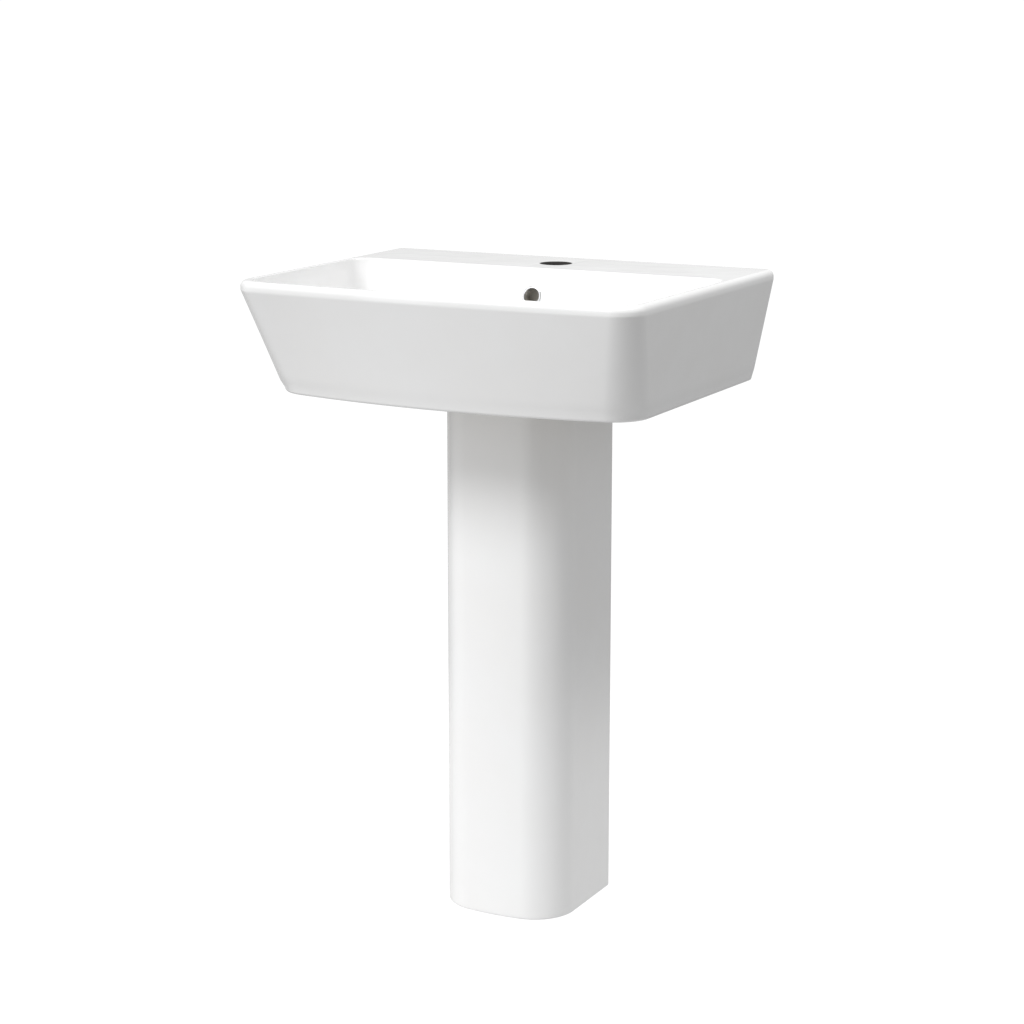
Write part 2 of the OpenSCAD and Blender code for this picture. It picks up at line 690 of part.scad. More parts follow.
module trap_cup() {
    rim_top = skirt_bottom + thread_len;
    shoulder = skirt_bottom - cup_seal_t - 0.3;
    cup_r = body_r + cup_wall;
    color("white") at_outlet() difference() {
        union() {
            translate([0, 0, shoulder - cup_step])
                cylinder(h = rim_top - shoulder + cup_step, r = cup_r);
            translate([0, 0, -cup_drop]) cylinder(h = cup_drop + shoulder, r = cup_inner_r + cup_wall);
            for (i = [1:grip_ribs])
                rotate(i * 360 / grip_ribs) translate([cup_r, 0, shoulder - cup_step])
                    cylinder(h = rim_top - shoulder + cup_step - rib_stop, r = grip_rib_r, $fn = 24);
        }
        translate([0, 0, shoulder]) cylinder(h = rim_top - shoulder + cut, r = body_r + thread_play);
        translate([0, 0, -cup_drop + cup_wall])
            cylinder(h = cup_drop, r = cup_inner_r);
    }
}
module trap_outlet_nut() {
    color("white") along_branch(branch_len - neck_grip) neck_nut();
}
module trap_outlet_seal() {
    color("dimgray") along_branch(branch_len) neck_seal();
}
pipe_start = 32;     // where the pipe begins inside the branch
mark_w = 1;          // ring groove that marks how far the pipe goes in
mark_depth = 0.4;
outlet_nut_end = branch_len + neck_seal_t + nut_lip;
module waste_pipe() {
    color("white") along_branch(0) difference() {
        translate([0, 0, pipe_start]) cylinder(h = outlet_from_wall - pipe_start, r = pipe_r);
        translate([0, 0, pipe_start - cut])
            cylinder(h = outlet_from_wall - pipe_start + 2 * cut, r = pipe_inner_r);
        translate([0, 0, outlet_nut_end + mark_w])
            tube(pipe_r + cut, pipe_r - mark_depth, mark_w, 0);
    }
}

basin();
pedestal();
overflow_ring();
wall_bolt_collars();
waste_body();
waste_flange_seal();
waste_cone_seal();
waste_slip_washer();
waste_backnut();
plug_cap();
plug_seal();
plug_stem();
plug_spring();
plug_cartridge();
plug_cartridge_cap();
trap_inlet_nut();
trap_inlet_seal();
trap_dip_tube();
trap_neck_nut();
trap_neck_seal();
trap_body();
trap_cup_seal();
trap_cup();
trap_outlet_nut();
trap_outlet_seal();
waste_pipe();
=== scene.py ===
import math
import bmesh
import bpy
from types import SimpleNamespace
from mathutils import Matrix, Vector
from mathutils.bvhtree import BVHTree


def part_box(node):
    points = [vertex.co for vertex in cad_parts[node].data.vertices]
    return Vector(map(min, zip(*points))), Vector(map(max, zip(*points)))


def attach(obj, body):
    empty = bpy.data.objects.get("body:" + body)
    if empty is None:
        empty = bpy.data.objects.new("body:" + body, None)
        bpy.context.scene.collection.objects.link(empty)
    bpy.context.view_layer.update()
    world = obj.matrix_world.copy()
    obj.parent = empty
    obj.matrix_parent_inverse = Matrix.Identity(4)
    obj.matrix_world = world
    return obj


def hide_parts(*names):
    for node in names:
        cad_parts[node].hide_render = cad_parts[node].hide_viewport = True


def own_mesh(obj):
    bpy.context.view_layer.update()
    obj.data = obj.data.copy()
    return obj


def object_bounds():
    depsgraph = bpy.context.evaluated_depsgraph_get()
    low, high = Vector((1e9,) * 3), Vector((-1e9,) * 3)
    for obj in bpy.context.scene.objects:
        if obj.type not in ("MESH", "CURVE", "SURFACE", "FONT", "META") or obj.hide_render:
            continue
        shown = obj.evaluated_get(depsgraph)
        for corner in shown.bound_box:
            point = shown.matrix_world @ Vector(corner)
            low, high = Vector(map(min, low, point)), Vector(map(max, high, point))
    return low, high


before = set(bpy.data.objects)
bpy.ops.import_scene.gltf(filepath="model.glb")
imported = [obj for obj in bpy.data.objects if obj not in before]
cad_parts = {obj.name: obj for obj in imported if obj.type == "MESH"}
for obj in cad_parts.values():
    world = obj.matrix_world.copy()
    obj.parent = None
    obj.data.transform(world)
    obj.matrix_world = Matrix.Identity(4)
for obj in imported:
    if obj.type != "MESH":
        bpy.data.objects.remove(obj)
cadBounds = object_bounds()

mm = 0.001
low, high = cadBounds
wallY = high[1]                                  # the back of the basin stands on this plane
rimZ = high[2]
outletY = sum(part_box("waste_body")[i][1] for i in (0, 1)) / 2
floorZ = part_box("waste_body")[1][2]              # the bowl's floor at the outlet
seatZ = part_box("pedestal")[1][2]                 # where the basin sits on the pedestal


def named(sizes):                                # a dictionary whose values are read as attributes
    return SimpleNamespace(**sizes)


# ---- materials ----

class Link:                                      # a node's output, with arithmetic on it
    def __init__(self, shader, socket):
        self.shader, self.socket = shader, socket

    def maths(self, operation, *values):
        return self.shader.node("ShaderNodeMath", {"operation": operation}, dict(enumerate(values)))

    def __add__(self, other):
        return self.maths("ADD", self, other)

    def __sub__(self, other):
        return self.maths("SUBTRACT", self, other)

    def __rsub__(self, other):
        return self.maths("SUBTRACT", other, self)

    def __mul__(self, other):
        return self.maths("MULTIPLY", self, other)

    def __pow__(self, other):
        return self.maths("POWER", self, other)

    __radd__, __rmul__ = __add__, __mul__


class Shader:
    def __init__(self, name, **constants):
        self.material = bpy.data.materials.new(name)
        self.material.use_nodes = True
        self.tree = self.material.node_tree
        self.surface = next(n for n in self.tree.nodes if n.type == "BSDF_PRINCIPLED")
        for socket, value in constants.items():
            self.surface.inputs[socket.replace("_", " ")].default_value = value
        self.place = self.node("ShaderNodeTexCoord", out="Object")

    def node(self, kind, settings=None, values=None, out=0):
        node = self.tree.nodes.new(kind)
        for name, value in (settings or {}).items():
            setattr(node, name, value)
        for name, value in (values or {}).items():
            self.feed(node.inputs[name], value)
        return Link(self, node.outputs[out]) if out is not None else None

    def feed(self, socket, value):
        if isinstance(value, Link):
            self.tree.links.new(value.socket, socket)
        else:
            socket.default_value = value

    def surfaceIs(self, **links):
        for name, value in links.items():
            self.feed(self.surface.inputs[name.replace("_", " ")], value)
        return self.material

    def noise(self, perMetre, detail=3.0, roughness=0.5, where=None, seed=0.0):
        return self.node("ShaderNodeTexNoise", {"noise_dimensions": "4D"},
                         {"Vector": where or self.place, "W": seed, "Scale": perMetre, "Detail": detail,
                          "Roughness": roughness})

    def between(self, value, start, end, low=0.0, high=1.0):
        return self.node("ShaderNodeMapRange", {"clamp": True, "interpolation_type": "SMOOTHSTEP"},
                         {"Value": value, "From Min": start, "From Max": end, "To Min": low,
                          "To Max": high})

    def blend(self, factor, one, other):
        return self.node("ShaderNodeMix", {"data_type": "RGBA"}, {0: factor, 6: one, 7: other}, out=2)

    def bump(self, height, metresHigh, under=None):
        values = {"Height": height, "Distance": metresHigh, "Strength": 1.0}
        if under:
            values["Normal"] = under
        return self.node("ShaderNodeBump", {}, values)

    def stretched(self, scale, shift=(0, 0, 0)):
        return self.node("ShaderNodeMapping", {}, {"Vector": self.place, "Location": shift, "Scale": scale})

    def aroundOutlet(self):                      # distance from the outlet's axis, in metres
        parts = self.node("ShaderNodeSeparateXYZ", {}, {0: self.stretched((1, 1, 1), (0, -outletY, 0))})
        x, y = parts, Link(self, parts.socket.node.outputs[1])
        return (x * x + y * y) ** 0.5

    def height(self):
        return self.node("ShaderNodeSeparateXYZ", {}, {0: self.place}, out=2)


def colour(level, tint=(1, 1, 1)):
    return tuple(level * t for t in tint) + (1,)


glazeLook = {"white": 0.80, "cloud": 0.79, "warm": (1.0, 0.998, 0.995), "cool": (0.997, 0.999, 1.0),
             "roughness": 0.075, "patchy": 0.05, "waves": 26, "waveHeight": 0.00035, "peel": 240,
             "peelHeight": 0.00002, "coat": 0.55}


def glaze():
    k = named(glazeLook)
    s = Shader("whiteGlaze", IOR=1.52, Coat_Roughness=0.03, Coat_IOR=1.5)
    cloud = s.noise(9, 4, 0.55)
    tone = s.between(cloud, 0.32, 0.70)
    body = s.blend(tone, colour(k.cloud, k.warm), colour(k.white, k.cool))
    pores = s.node("ShaderNodeTexVoronoi", {"feature": "F1"},
                   {"Vector": s.place, "Scale": 62.0, "Randomness": 1.0})
    pore = s.between(pores, 0.011, 0.016, 1.0, 0.0) * s.between(s.noise(14, 1), 0.60, 0.66)
    peel = s.noise(k.peel, 2, 0.4)
    normal = s.bump(s.noise(k.waves, 1.5, 0.4), k.waveHeight)
    normal = s.bump(peel, k.peelHeight, normal)
    normal = s.bump(1 - pore, 0.0001, normal)
    rough = k.roughness + s.between(s.noise(5, 3), 0.35, 0.75) * k.patchy
    return s.surfaceIs(Base_Color=s.blend(pore * 0.5, body, colour(0.42, (1, 0.95, 0.86))), Roughness=rough,
                       Coat_Weight=k.coat - tone * 0.15, Normal=normal)


clayLook = {"light": (0.70, 0.665, 0.60, 1), "dark": (0.56, 0.52, 0.45, 1), "spots": (0.36, 0.29, 0.22, 1),
            "grain": 900, "grainHeight": 0.00012}
# a nearly black painted shade on the tap hole's wall, standing for the shade inside the hole
tapHoleShadeLook = {"light": (0.022, 0.020, 0.018, 1), "dark": (0.012, 0.011, 0.010, 1),
            "spots": (0.03, 0.025, 0.02, 1),
            "grain": 900, "grainHeight": 0.00012}    # the tap hole, nearly black


def clay(name, look):                            # unglazed fired clay inside and underneath; it also stands as painted shade on the waterway's walls, and with the hole's look it paints a nearly black shade on the tap hole's wall
    k = named(look)
    s = Shader(name, IOR=1.45)
    body = s.blend(s.between(s.noise(16, 5, 0.6), 0.3, 0.72), k.dark, k.light)
    spots = s.between(s.noise(420, 1, 0.5, seed=3), 0.70, 0.76)
    grain = s.noise(k.grain, 4, 0.65)
    wash = s.noise(1, 4, 0.5, where=s.stretched((60, 60, 7)))
    normal = s.bump(grain, k.grainHeight, s.bump(wash, 0.0006))
    return s.surfaceIs(Base_Color=s.blend(spots * 0.6, body, k.spots),
                       Roughness=0.70 + s.between(grain, 0.3, 0.7) * 0.22, Normal=normal)


def chromePlate():
    s = Shader("chromePlate", Metallic=1.0, IOR=1.5)
    smudge = s.between(s.noise(75, 5, 0.6, seed=2), 0.42, 0.72)
    wipe = s.noise(1, 3, 0.6, where=s.stretched((1400, 180, 400)))
    rough = 0.045 + smudge * 0.10 + s.between(wipe, 0.55, 0.8) * 0.05
    tint = s.blend(smudge, (0.83, 0.835, 0.85, 1), (0.74, 0.745, 0.755, 1))
    return s.surfaceIs(Base_Color=tint, Roughness=rough, Normal=s.bump(s.noise(160, 2), 0.00002))


def turnedBrass():
    s = Shader("turnedBrass", Metallic=1.0)
    rings = s.noise(1, 2, 0.5, where=s.node("ShaderNodeCombineXYZ", {}, {0: s.aroundOutlet() * 5200,
                                                                         1: s.height() * 3400, 2: 0.0}))
    tarnish = s.between(s.noise(110, 5, 0.6), 0.38, 0.72)
    tint = s.blend(tarnish, (0.80, 0.60, 0.29, 1), (0.55, 0.38, 0.17, 1))
    return s.surfaceIs(Base_Color=tint, Roughness=0.20 + tarnish * 0.18 + rings * 0.10,
                       Normal=s.bump(rings, 0.00004))


def drawnWire():
    s = Shader("drawnWire", Metallic=1.0)
    lines = s.noise(1, 3, 0.6, where=s.stretched((500, 500, 6000)))
    tint = s.blend(s.between(lines, 0.3, 0.7), (0.50, 0.50, 0.51, 1), (0.66, 0.66, 0.66, 1))
    return s.surfaceIs(Base_Color=tint, Roughness=0.22 + lines * 0.16, Normal=s.bump(lines, 0.00002))


def rubber():
    s = Shader("blackRubber", IOR=1.5)
    bloom = s.between(s.noise(130, 5, 0.65), 0.42, 0.75)
    grain = s.noise(1500, 3, 0.6)
    tint = s.blend(bloom, (0.022, 0.022, 0.024, 1), (0.075, 0.073, 0.070, 1))
    return s.surfaceIs(Base_Color=tint, Roughness=0.52 + bloom * 0.25, Normal=s.bump(grain, 0.00006))


def moulded(name, light, dark, rough, grainHeight, coat=0.0):
    # moulded plastic: a faint flow pattern, a spark-eroded grain and scuffs
    s = Shader(name, IOR=1.49, Coat_Roughness=0.08)
    flow = s.between(s.noise(1, 3, 0.5, where=s.stretched((30, 30, 11))), 0.3, 0.7)
    grain = s.noise(2100, 2, 0.5)
    scuff = s.between(s.noise(1, 4, 0.7, where=s.stretched((900, 240, 120))), 0.64, 0.74)
    tint = s.blend(flow, dark, light)
    tint = s.blend(scuff * 0.35, tint, tuple(0.8 * c for c in dark[:3]) + (1,))
    return s.surfaceIs(Base_Color=tint, Roughness=rough + flow * 0.06 + scuff * 0.2,
                       Coat_Weight=coat + flow * 0.05,
                       Normal=s.bump(grain, grainHeight, s.bump(scuff, 0.00003)))


# the second finish is unglazed clay, also used as painted shade in the waterway; the third is the tap hole
# wall's nearly black painted shade
glazed, bareClayAndWayShade, tapHoleShadePaint = glaze(), clay("bareClayAndOverflowShade", clayLook), clay("tapHolePaintedShade", tapHoleShadeLook)
chrome, brass, wire, blackRubber = chromePlate(), turnedBrass(), drawnWire(), rubber()
nylon = moulded("naturalNylon", (0.80, 0.775, 0.68, 1), (0.72, 0.69, 0.59, 1), 0.38, 0.00003)
greyPlastic = moulded("greyPlastic", (0.115, 0.12, 0.125, 1), (0.085, 0.09, 0.095, 1), 0.42, 0.00004)
whitePlastic = moulded("whitePlastic", (0.80, 0.80, 0.79, 1), (0.75, 0.75, 0.735, 1), 0.24, 0.00002, 0.2)
print("materials:", len(bpy.data.materials))


# ---- meshes ----

def finished(solid, material, body, stands, sharp=30, others=()):
    # the piece's last step: its finish, shading, body and the CAD nodes that it stands for
    mesh = solid.data
    mesh.materials.clear()
    mesh.materials.append(material)
    for face in mesh.polygons:
        face.material_index = 0
    for i, (other, tree) in enumerate(others):   # faces that were cut by a tree's shape take another finish
        mesh.materials.append(other)
        for face in mesh.polygons:
            if tree.find_nearest(face.center)[3] < 0.05 * mm:
                face.material_index = i + 1
    shadeByAngle(solid, sharp)
    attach(solid, body)
    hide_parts(*stands)
    return solid


def shadeByAngle(piece, degrees):
    bm = bmesh.new()
    bm.from_mesh(piece.data)
    for face in bm.faces:
        face.smooth = True
    limit = math.radians(degrees)
    for edge in bm.edges:
        edge.smooth = len(edge.link_faces) == 2 and edge.calc_face_angle(0) < limit
    bm.to_mesh(piece.data)
    bm.free()


def byDegrees(angle, axis, size=3):
    return Matrix.Rotation(math.radians(angle), size, axis)


def tool(name, bm):                              # a solid that only carves or joins another
    bmesh.ops.remove_doubles(bm, verts=bm.verts, dist=1e-6)
    bmesh.ops.recalc_face_normals(bm, faces=bm.faces)
    mesh = bpy.data.meshes.new(name)
    bm.to_mesh(mesh)
    bm.free()
    solid = bpy.data.objects.new(name, mesh)
    bpy.context.collection.objects.link(solid)
    return solid


def combine(piece, other, how="DIFFERENCE"):
    step = piece.modifiers.new(how, "BOOLEAN")
    step.operation = how
    step.solver = "MANIFOLD"
    step.object = other
    graph = bpy.context.evaluated_depsgraph_get()
    mesh = bpy.data.meshes.new_from_object(piece.evaluated_get(graph))
    piece.modifiers.clear()
    old = piece.data
    piece.data = mesh
    bpy.data.meshes.remove(old)
    bpy.data.objects.remove(other)
    return piece


def place(bm, turn=None, shift=(0, 0, 0)):
    if turn:
        bmesh.ops.rotate(bm, verts=bm.verts, cent=(0, 0, 0), matrix=turn)
    bmesh.ops.translate(bm, verts=bm.verts, vec=shift)


def roundedOutline(bm, corners, radii, segments=4):
    verts = [bm.verts.new((x * mm, 0, z * mm)) for x, z in corners]
    bm.faces.new(verts)
    for size in sorted(set(r for r in radii if r)):
        picked = [v for v, r in zip(verts, radii) if r == size]
        bmesh.ops.bevel(bm, geom=picked, offset=size * mm, offset_type="OFFSET", affect="VERTICES",
                        segments=segments, profile=0.5, material=-1)


def turned(corners, radii=0, steps=96, segments=4):
    # a closed outline of (radius, height) corners in millimetres, rounded and spun about Z
    bm = bmesh.new()
    radii = [radii] * len(corners) if isinstance(radii, (int, float)) else radii
    roundedOutline(bm, corners, radii, segments)
    bmesh.ops.delete(bm, geom=bm.faces[:], context="FACES_ONLY")
    onAxis = [e for e in bm.edges if all(abs(v.co.x) < 1e-7 for v in e.verts)]
    bmesh.ops.delete(bm, geom=onAxis, context="EDGES")
    bmesh.ops.spin(bm, geom=bm.verts[:] + bm.edges[:], cent=(0, 0, 0), axis=(0, 0, 1),
                   angle=math.tau, steps=steps, use_merge=True)
    bmesh.ops.remove_doubles(bm, verts=bm.verts, dist=1e-7)
    bmesh.ops.recalc_face_normals(bm, faces=bm.faces)
    return bm


def merged(bm, other):                           # adds one bmesh's faces to another
    mesh = bpy.data.meshes.new("part")
    other.to_mesh(mesh)
    other.free()
    bm.from_mesh(mesh)
    bpy.data.meshes.remove(mesh)
    return bm


def threadRidge(radius, pitch, bottom, top, height, inside=False, perTurn=48):
    # one helical ridge that stands on a cylinder, sunk a little into it
    bm = bmesh.new()
    side = -1 if inside else 1
    half = pitch * 0.42
    points = [(radius - side * 0.15, -half), (radius + side * height, -pitch * 0.06),
              (radius + side * height, pitch * 0.06), (radius - side * 0.15, half)]
    verts = [bm.verts.new((r * mm, 0, (bottom + half + z) * mm)) for r, z in points]
    start = bm.faces.new(verts)
    turns = (top - bottom - 2 * half) / pitch
    steps = max(8, int(perTurn * turns))
    bmesh.ops.spin(bm, geom=[start], cent=(0, 0, 0), axis=(0, 0, 1), use_merge=False, steps=steps,
                   dvec=(0, 0, turns * pitch * mm / steps), angle=math.tau * turns)
    bmesh.ops.recalc_face_normals(bm, faces=bm.faces)
    return bm


def ribs(radius, size, bottom, top, count):
    # rounded grip ribs that stand on a round nut
    bm = bmesh.new()
    for i in range(count):
        one = turned([(0, bottom), (size, bottom), (size, top), (0, top)], [0, 0.7, 0.7, 0], 20, 3)
        a = math.tau * i / count
        place(one, None, (radius * mm * math.cos(a), radius * mm * math.sin(a), 0))
        merged(bm, one)
    return bm


# ---- plan sections ----

def halfPlan(back, front, backY, frontY, corner, bow, backCorner, counts):
    # right half of an outline: sides that narrow to the front, rounded corners, a bowed front
    k = (back - front) / (backY - frontY)
    s = math.sqrt(1 + k * k)
    lean = math.atan(k)
    bowR = (front * front + bow * bow) / (2 * bow)
    bowY = frontY + bowR
    a = back - backY * k - corner * s
    b = a * k - bowY
    c = a * a + bowY * bowY - (bowR - corner) ** 2
    cy = (-b - math.sqrt(b * b - s * s * c)) / (s * s)
    cx = a + k * cy
    turn = math.atan2(cy - bowY, cx)
    by = backY - backCorner
    bx = back - backCorner * k - backCorner * s

    def arc(x, y, r, start, end, n):
        return [(x + r * math.cos(start + (end - start) * i / n),
                 y + r * math.sin(start + (end - start) * i / n)) for i in range(1, n + 1)]

    def line(p, q, n):
        return [(p[0] + (q[0] - p[0]) * i / n, p[1] + (q[1] - p[1]) * i / n) for i in range(1, n + 1)]

    nBack, nBackCorner, nSide, nCorner, nBow = counts
    points = [(0, backY)] + line((0, backY), (bx, backY), nBack)
    points += arc(bx, by, backCorner, math.pi / 2, -lean, nBackCorner)
    points += line(points[-1], (cx + corner * math.cos(-lean), cy + corner * math.sin(-lean)), nSide)
    points += arc(cx, cy, corner, -lean, turn, nCorner)
    points += arc(0, bowY, bowR, turn, -math.pi / 2, nBow)
    return points


def whole(half):
    return half + [(-x, y) for x, y in half[-2:0:-1]]


def skinned(loops):
    # closed solid over a list of (outline, height), first and last closed with a cap
    bm = bmesh.new()
    rings, edges = [], []
    for i, (outline, z) in enumerate(loops):     # stacked evenly first, so that each pair bridges straight
        ring = [bm.verts.new((x, y, i * 0.05)) for x, y in outline]
        rings.append(ring)
        edges.append([bm.edges.new((ring[j - 1], ring[j])) for j in range(len(ring))])
    for one, other in zip(edges, edges[1:]):
        bmesh.ops.bridge_loops(bm, edges=one + other)
    for end in (edges[0], edges[-1]):
        bmesh.ops.contextual_create(bm, geom=end)
    bmesh.ops.recalc_face_normals(bm, faces=bm.faces)
    for ring, (outline, z) in zip(rings, loops):
        for vert in ring:
            vert.co.z = z
    return bm


# ---- basin ----

basinSizes = {
    "halfWidth": high[0] / mm, "sideLean": 27, "frontLean": 39, "planTaper": 4,
    "apronHeight": 144, "leanStart": 12,
    "rimCorner": 36, "footCorner": 50, "rimBow": 11, "footBow": 29, "backCorner": 4,
    "rimRound": 8.2, "footRound": 5, "rimWall": 12, "shellWall": 10, "ledgeWall": 13,
    "ledgeDepth": 126, "backSlope": 16, "bowlDepth": (rimZ - floorZ) / mm, "floorFall": 7,
    "floorRound": 30, "bowlBackCorner": 24, "lipRound": 2.2, "backPull": 0.4,
    "recess": 33, "recessLand": 1.5,
}
planCounts = (36, 8, 40, 26, 44)


def mix(a, b, t):
    return a + (b - a) * t


def lean(d):
    s = named(basinSizes)
    return max(0.0, min(1.0, (d - s.leanStart) / (s.apronHeight - s.leanStart)))


def metres(points):
    return [(x * mm, y * mm) for x, y in points]


def apronPlan(d, inset, backInset, counts=planCounts):
    s, t = named(basinSizes), lean(d)
    half = s.halfWidth - s.sideLean * t - inset
    back = wallY / mm
    return metres(whole(halfPlan(
        half, half - s.planTaper * (1 - t), back - backInset, low[1] / mm + s.frontLean * t + inset,
        mix(s.rimCorner, s.footCorner, t) - inset, mix(s.rimBow, s.footBow, t),
        max(1.0, s.backCorner - backInset), counts)))


def bowlPlan(d, inset, grow, counts=planCounts):
    s, t = named(basinSizes), lean(d)
    bend = s.bowlDepth - s.floorFall - s.floorRound
    half = s.halfWidth - s.rimWall - s.sideLean * t - inset + grow
    pull = inset if inset < 0 else inset * s.backPull
    back = wallY / mm - s.ledgeDepth - math.tan(math.radians(s.backSlope)) * min(d,
                                                                                       bend) - pull + grow
    return whole(halfPlan(
        half, half - s.planTaper * (1 - t), back,
        low[1] / mm + s.rimWall + s.frontLean * t + inset - grow,
        mix(s.rimCorner, s.footCorner, t) - s.rimWall + 8 + grow,
        mix(s.rimBow, s.footBow, t), s.bowlBackCorner + grow, counts))


def quarter(n, first=0):
    return [math.pi / 2 * i / n for i in range(first, n + 1)]


def bowlLoops(grow, lip, counts=planCounts):
    # from the rim down the walls, round the bend and over the floor to the outlet
    s = named(basinSizes)
    flat = s.bowlDepth - s.floorFall
    bend = flat - s.floorRound
    loops = []
    if lip:
        for a in quarter(7):
            r = s.lipRound
            loops.append((metres(bowlPlan(0, -r * (1 - math.sin(a)), 0, counts)),
                          rimZ - r * (1 - math.cos(a)) * mm))
    start = s.lipRound if lip else s.ledgeWall - 1
    for i in range(1 if lip else 0, 11):
        d = mix(start, bend, i / 10)
        loops.append((metres(bowlPlan(d, 0, grow, counts)), rimZ - d * mm))
    for a in quarter(14, 1):
        loops.append((metres(bowlPlan(bend + s.floorRound * math.sin(a),
                                      s.floorRound * (1 - math.cos(a)),
                                      grow, counts)),
                      rimZ - (bend + (s.floorRound + grow) * math.sin(a)) * mm))
    edge = bowlPlan(flat, s.floorRound, grow, counts)
    r = s.recess + s.recessLand + grow / 2
    centre = outletY / mm
    for i in range(1, 13):
        t = i / 12
        fall = t * t * (3 - 2 * t) * 0.35 + t * 0.65
        outline = []
        for x, y in edge:
            a = math.atan2(y - centre, x)
            outline.append((mix(x, r * math.cos(a), t), mix(y, centre + r * math.sin(a), t)))
        loops.append((metres(outline), rimZ - (mix(flat, s.bowlDepth, fall) + grow) * mm))
    return loops


def buildBasin():
    s = named(basinSizes)
    foot = s.apronHeight
    outside = []
    for a in quarter(6):
        outside.append((apronPlan(foot, s.footRound * (1 - math.sin(a)), 0),
                        rimZ - (foot - s.footRound * (1 - math.cos(a))) * mm))
    for i in range(1, 13):
        d = mix(foot - s.footRound, s.leanStart + 2, i / 12)
        outside.append((apronPlan(d, 0, 0), rimZ - d * mm))
    for i in range(1, 5):
        d = mix(s.leanStart + 2, s.rimRound, i / 4)
        outside.append((apronPlan(d, 0, 0), rimZ - d * mm))
    for a in quarter(12, 1):
        inset = s.rimRound * (1 - math.cos(a))
        outside.append((apronPlan(s.rimRound * (1 - math.sin(a)), inset, 0.3 * inset),
                        rimZ - s.rimRound * (1 - math.sin(a)) * mm))
    lip = bowlLoops(0, True)
    rim, start = outside[-1][0], lip[0][0]
    flatTop = [([(mix(p[0], q[0], t), mix(p[1], q[1], t)) for p, q in zip(rim, start)], rimZ)
               for t in (0.03, 0.97)]
    basin = tool("basinShell", skinned(outside + flatTop + lip))
    print("basin: outside and bowl", len(basin.data.polygons), "faces")

    counts = (12, 4, 16, 14, 24)
    under = [(apronPlan(d, s.shellWall + 1 + more, s.shellWall + more, counts), rimZ - d * mm)
             for d, more in ((s.ledgeWall, 3), (s.ledgeWall + 1, 1), (s.ledgeWall + 4, 0),
                             (80, 0), (foot - 4, 0), (foot - 1, -1.2), (foot + 1, -4))]
    hollow = tool("hollow", skinned(under))
    combine(hollow, tool("skin", skinned(bowlLoops(s.shellWall, False, counts))))
    for solid in seatRibs() + [waterWay(8), boss(0)]:
        combine(hollow, solid)
    combine(basin, boss(1), "UNION")
    cuts = [(bareClayAndWayShade, treeOf(hollow))]
    combine(basin, hollow)
    way = waterWay(0)
    # the waterway's walls take unglazed clay, darker than the glaze, as painted shade inside the overflow
    cuts.append((bareClayAndWayShade, treeOf(way)))
    combine(basin, way)
    for solid in basinHoles():
        if solid.name == "tapHole":
            # the tap hole's wall takes a nearly black painted shade
            cuts.append((tapHoleShadePaint, treeOf(solid)))
        combine(basin, solid)
    print("basin: carved", len(basin.data.polygons), "faces")
    return basin, cuts


def treeOf(piece):
    bm = bmesh.new()
    bm.from_mesh(piece.data)
    tree = BVHTree.FromBMesh(bm)
    bm.free()
    return tree


def block(lowCorner, highCorner, rounding=0, segments=3):
    bm = bmesh.new()
    bmesh.ops.create_cube(bm, size=1)
    size = [b - a for a, b in zip(lowCorner, highCorner)]
    bmesh.ops.scale(bm, verts=bm.verts, vec=size)
    bmesh.ops.translate(bm, verts=bm.verts, vec=[(a + b) / 2 for a, b in zip(lowCorner, highCorner)])
    if rounding:
        bmesh.ops.bevel(bm, geom=bm.edges[:], offset=rounding, offset_type="OFFSET", affect="EDGES",
                        segments=segments, profile=0.5, material=-1)
    return bm


pedestalSizes = {
    "width": (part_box("pedestal")[1][0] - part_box("pedestal")[0][0]) / mm,
    "backY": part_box("pedestal")[1][1] / mm, "frontY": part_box("pedestal")[0][1] / mm,
    "corner": 57, "bow": 12.5, "backCorner": 3, "wall": 10, "lip": 24,
    "flangeHeight": 14, "flangeWidth": 26, "ribZ": 250, "ribHeight": 30,
    "screwBack": 62, "round": 2.5,
}


def pedestalPlan(inset, counts=(8, 4, 16, 26, 22)):
    p = named(pedestalSizes)
    half = p.width / 2 - inset
    return whole(halfPlan(half, half - 0.01, p.backY - inset, p.frontY + inset,
                          p.corner - inset, p.bow, max(1.0, p.backCorner - max(0, inset)), counts))


def seatRibs():
    # the standing ribs on the underside that meet the pedestal's top
    p = named(pedestalSizes)
    seat = 14
    band = tool("seat", skinned([(metres(pedestalPlan(-3)), seatZ),
                                 (metres(pedestalPlan(-3)), seatZ + 30 * mm)]))
    combine(band, tool("seatInside", skinned([(metres(pedestalPlan(seat)), seatZ - 1 * mm),
                                              (metres(pedestalPlan(seat)), seatZ + 31 * mm)])))
    combine(band, tool("seatBack",
                       block((-0.2, p.frontY * mm + 0.151, seatZ - 0.01), (0.2, wallY, seatZ + 0.04))))
    combine(band, tool("seatGap", block((-(p.width / 2 - seat) * mm, outletY, seatZ - 0.01),
                                        ((p.width / 2 - seat) * mm, wallY, seatZ + 0.04))))
    outer = p.width / 2 - 3
    arms = [tool("arm", block(*((-outer * mm, outletY, seatZ),
                                (-(outer - seat + 3) * mm, wallY - 0.009, seatZ + 0.03))
                              if side < 0 else
                              (((outer - seat + 3) * mm, outletY, seatZ),
                               (outer * mm, wallY - 0.009, seatZ + 0.03)),
                              rounding=0.0015)) for side in (-1, 1)]
    return [band] + arms


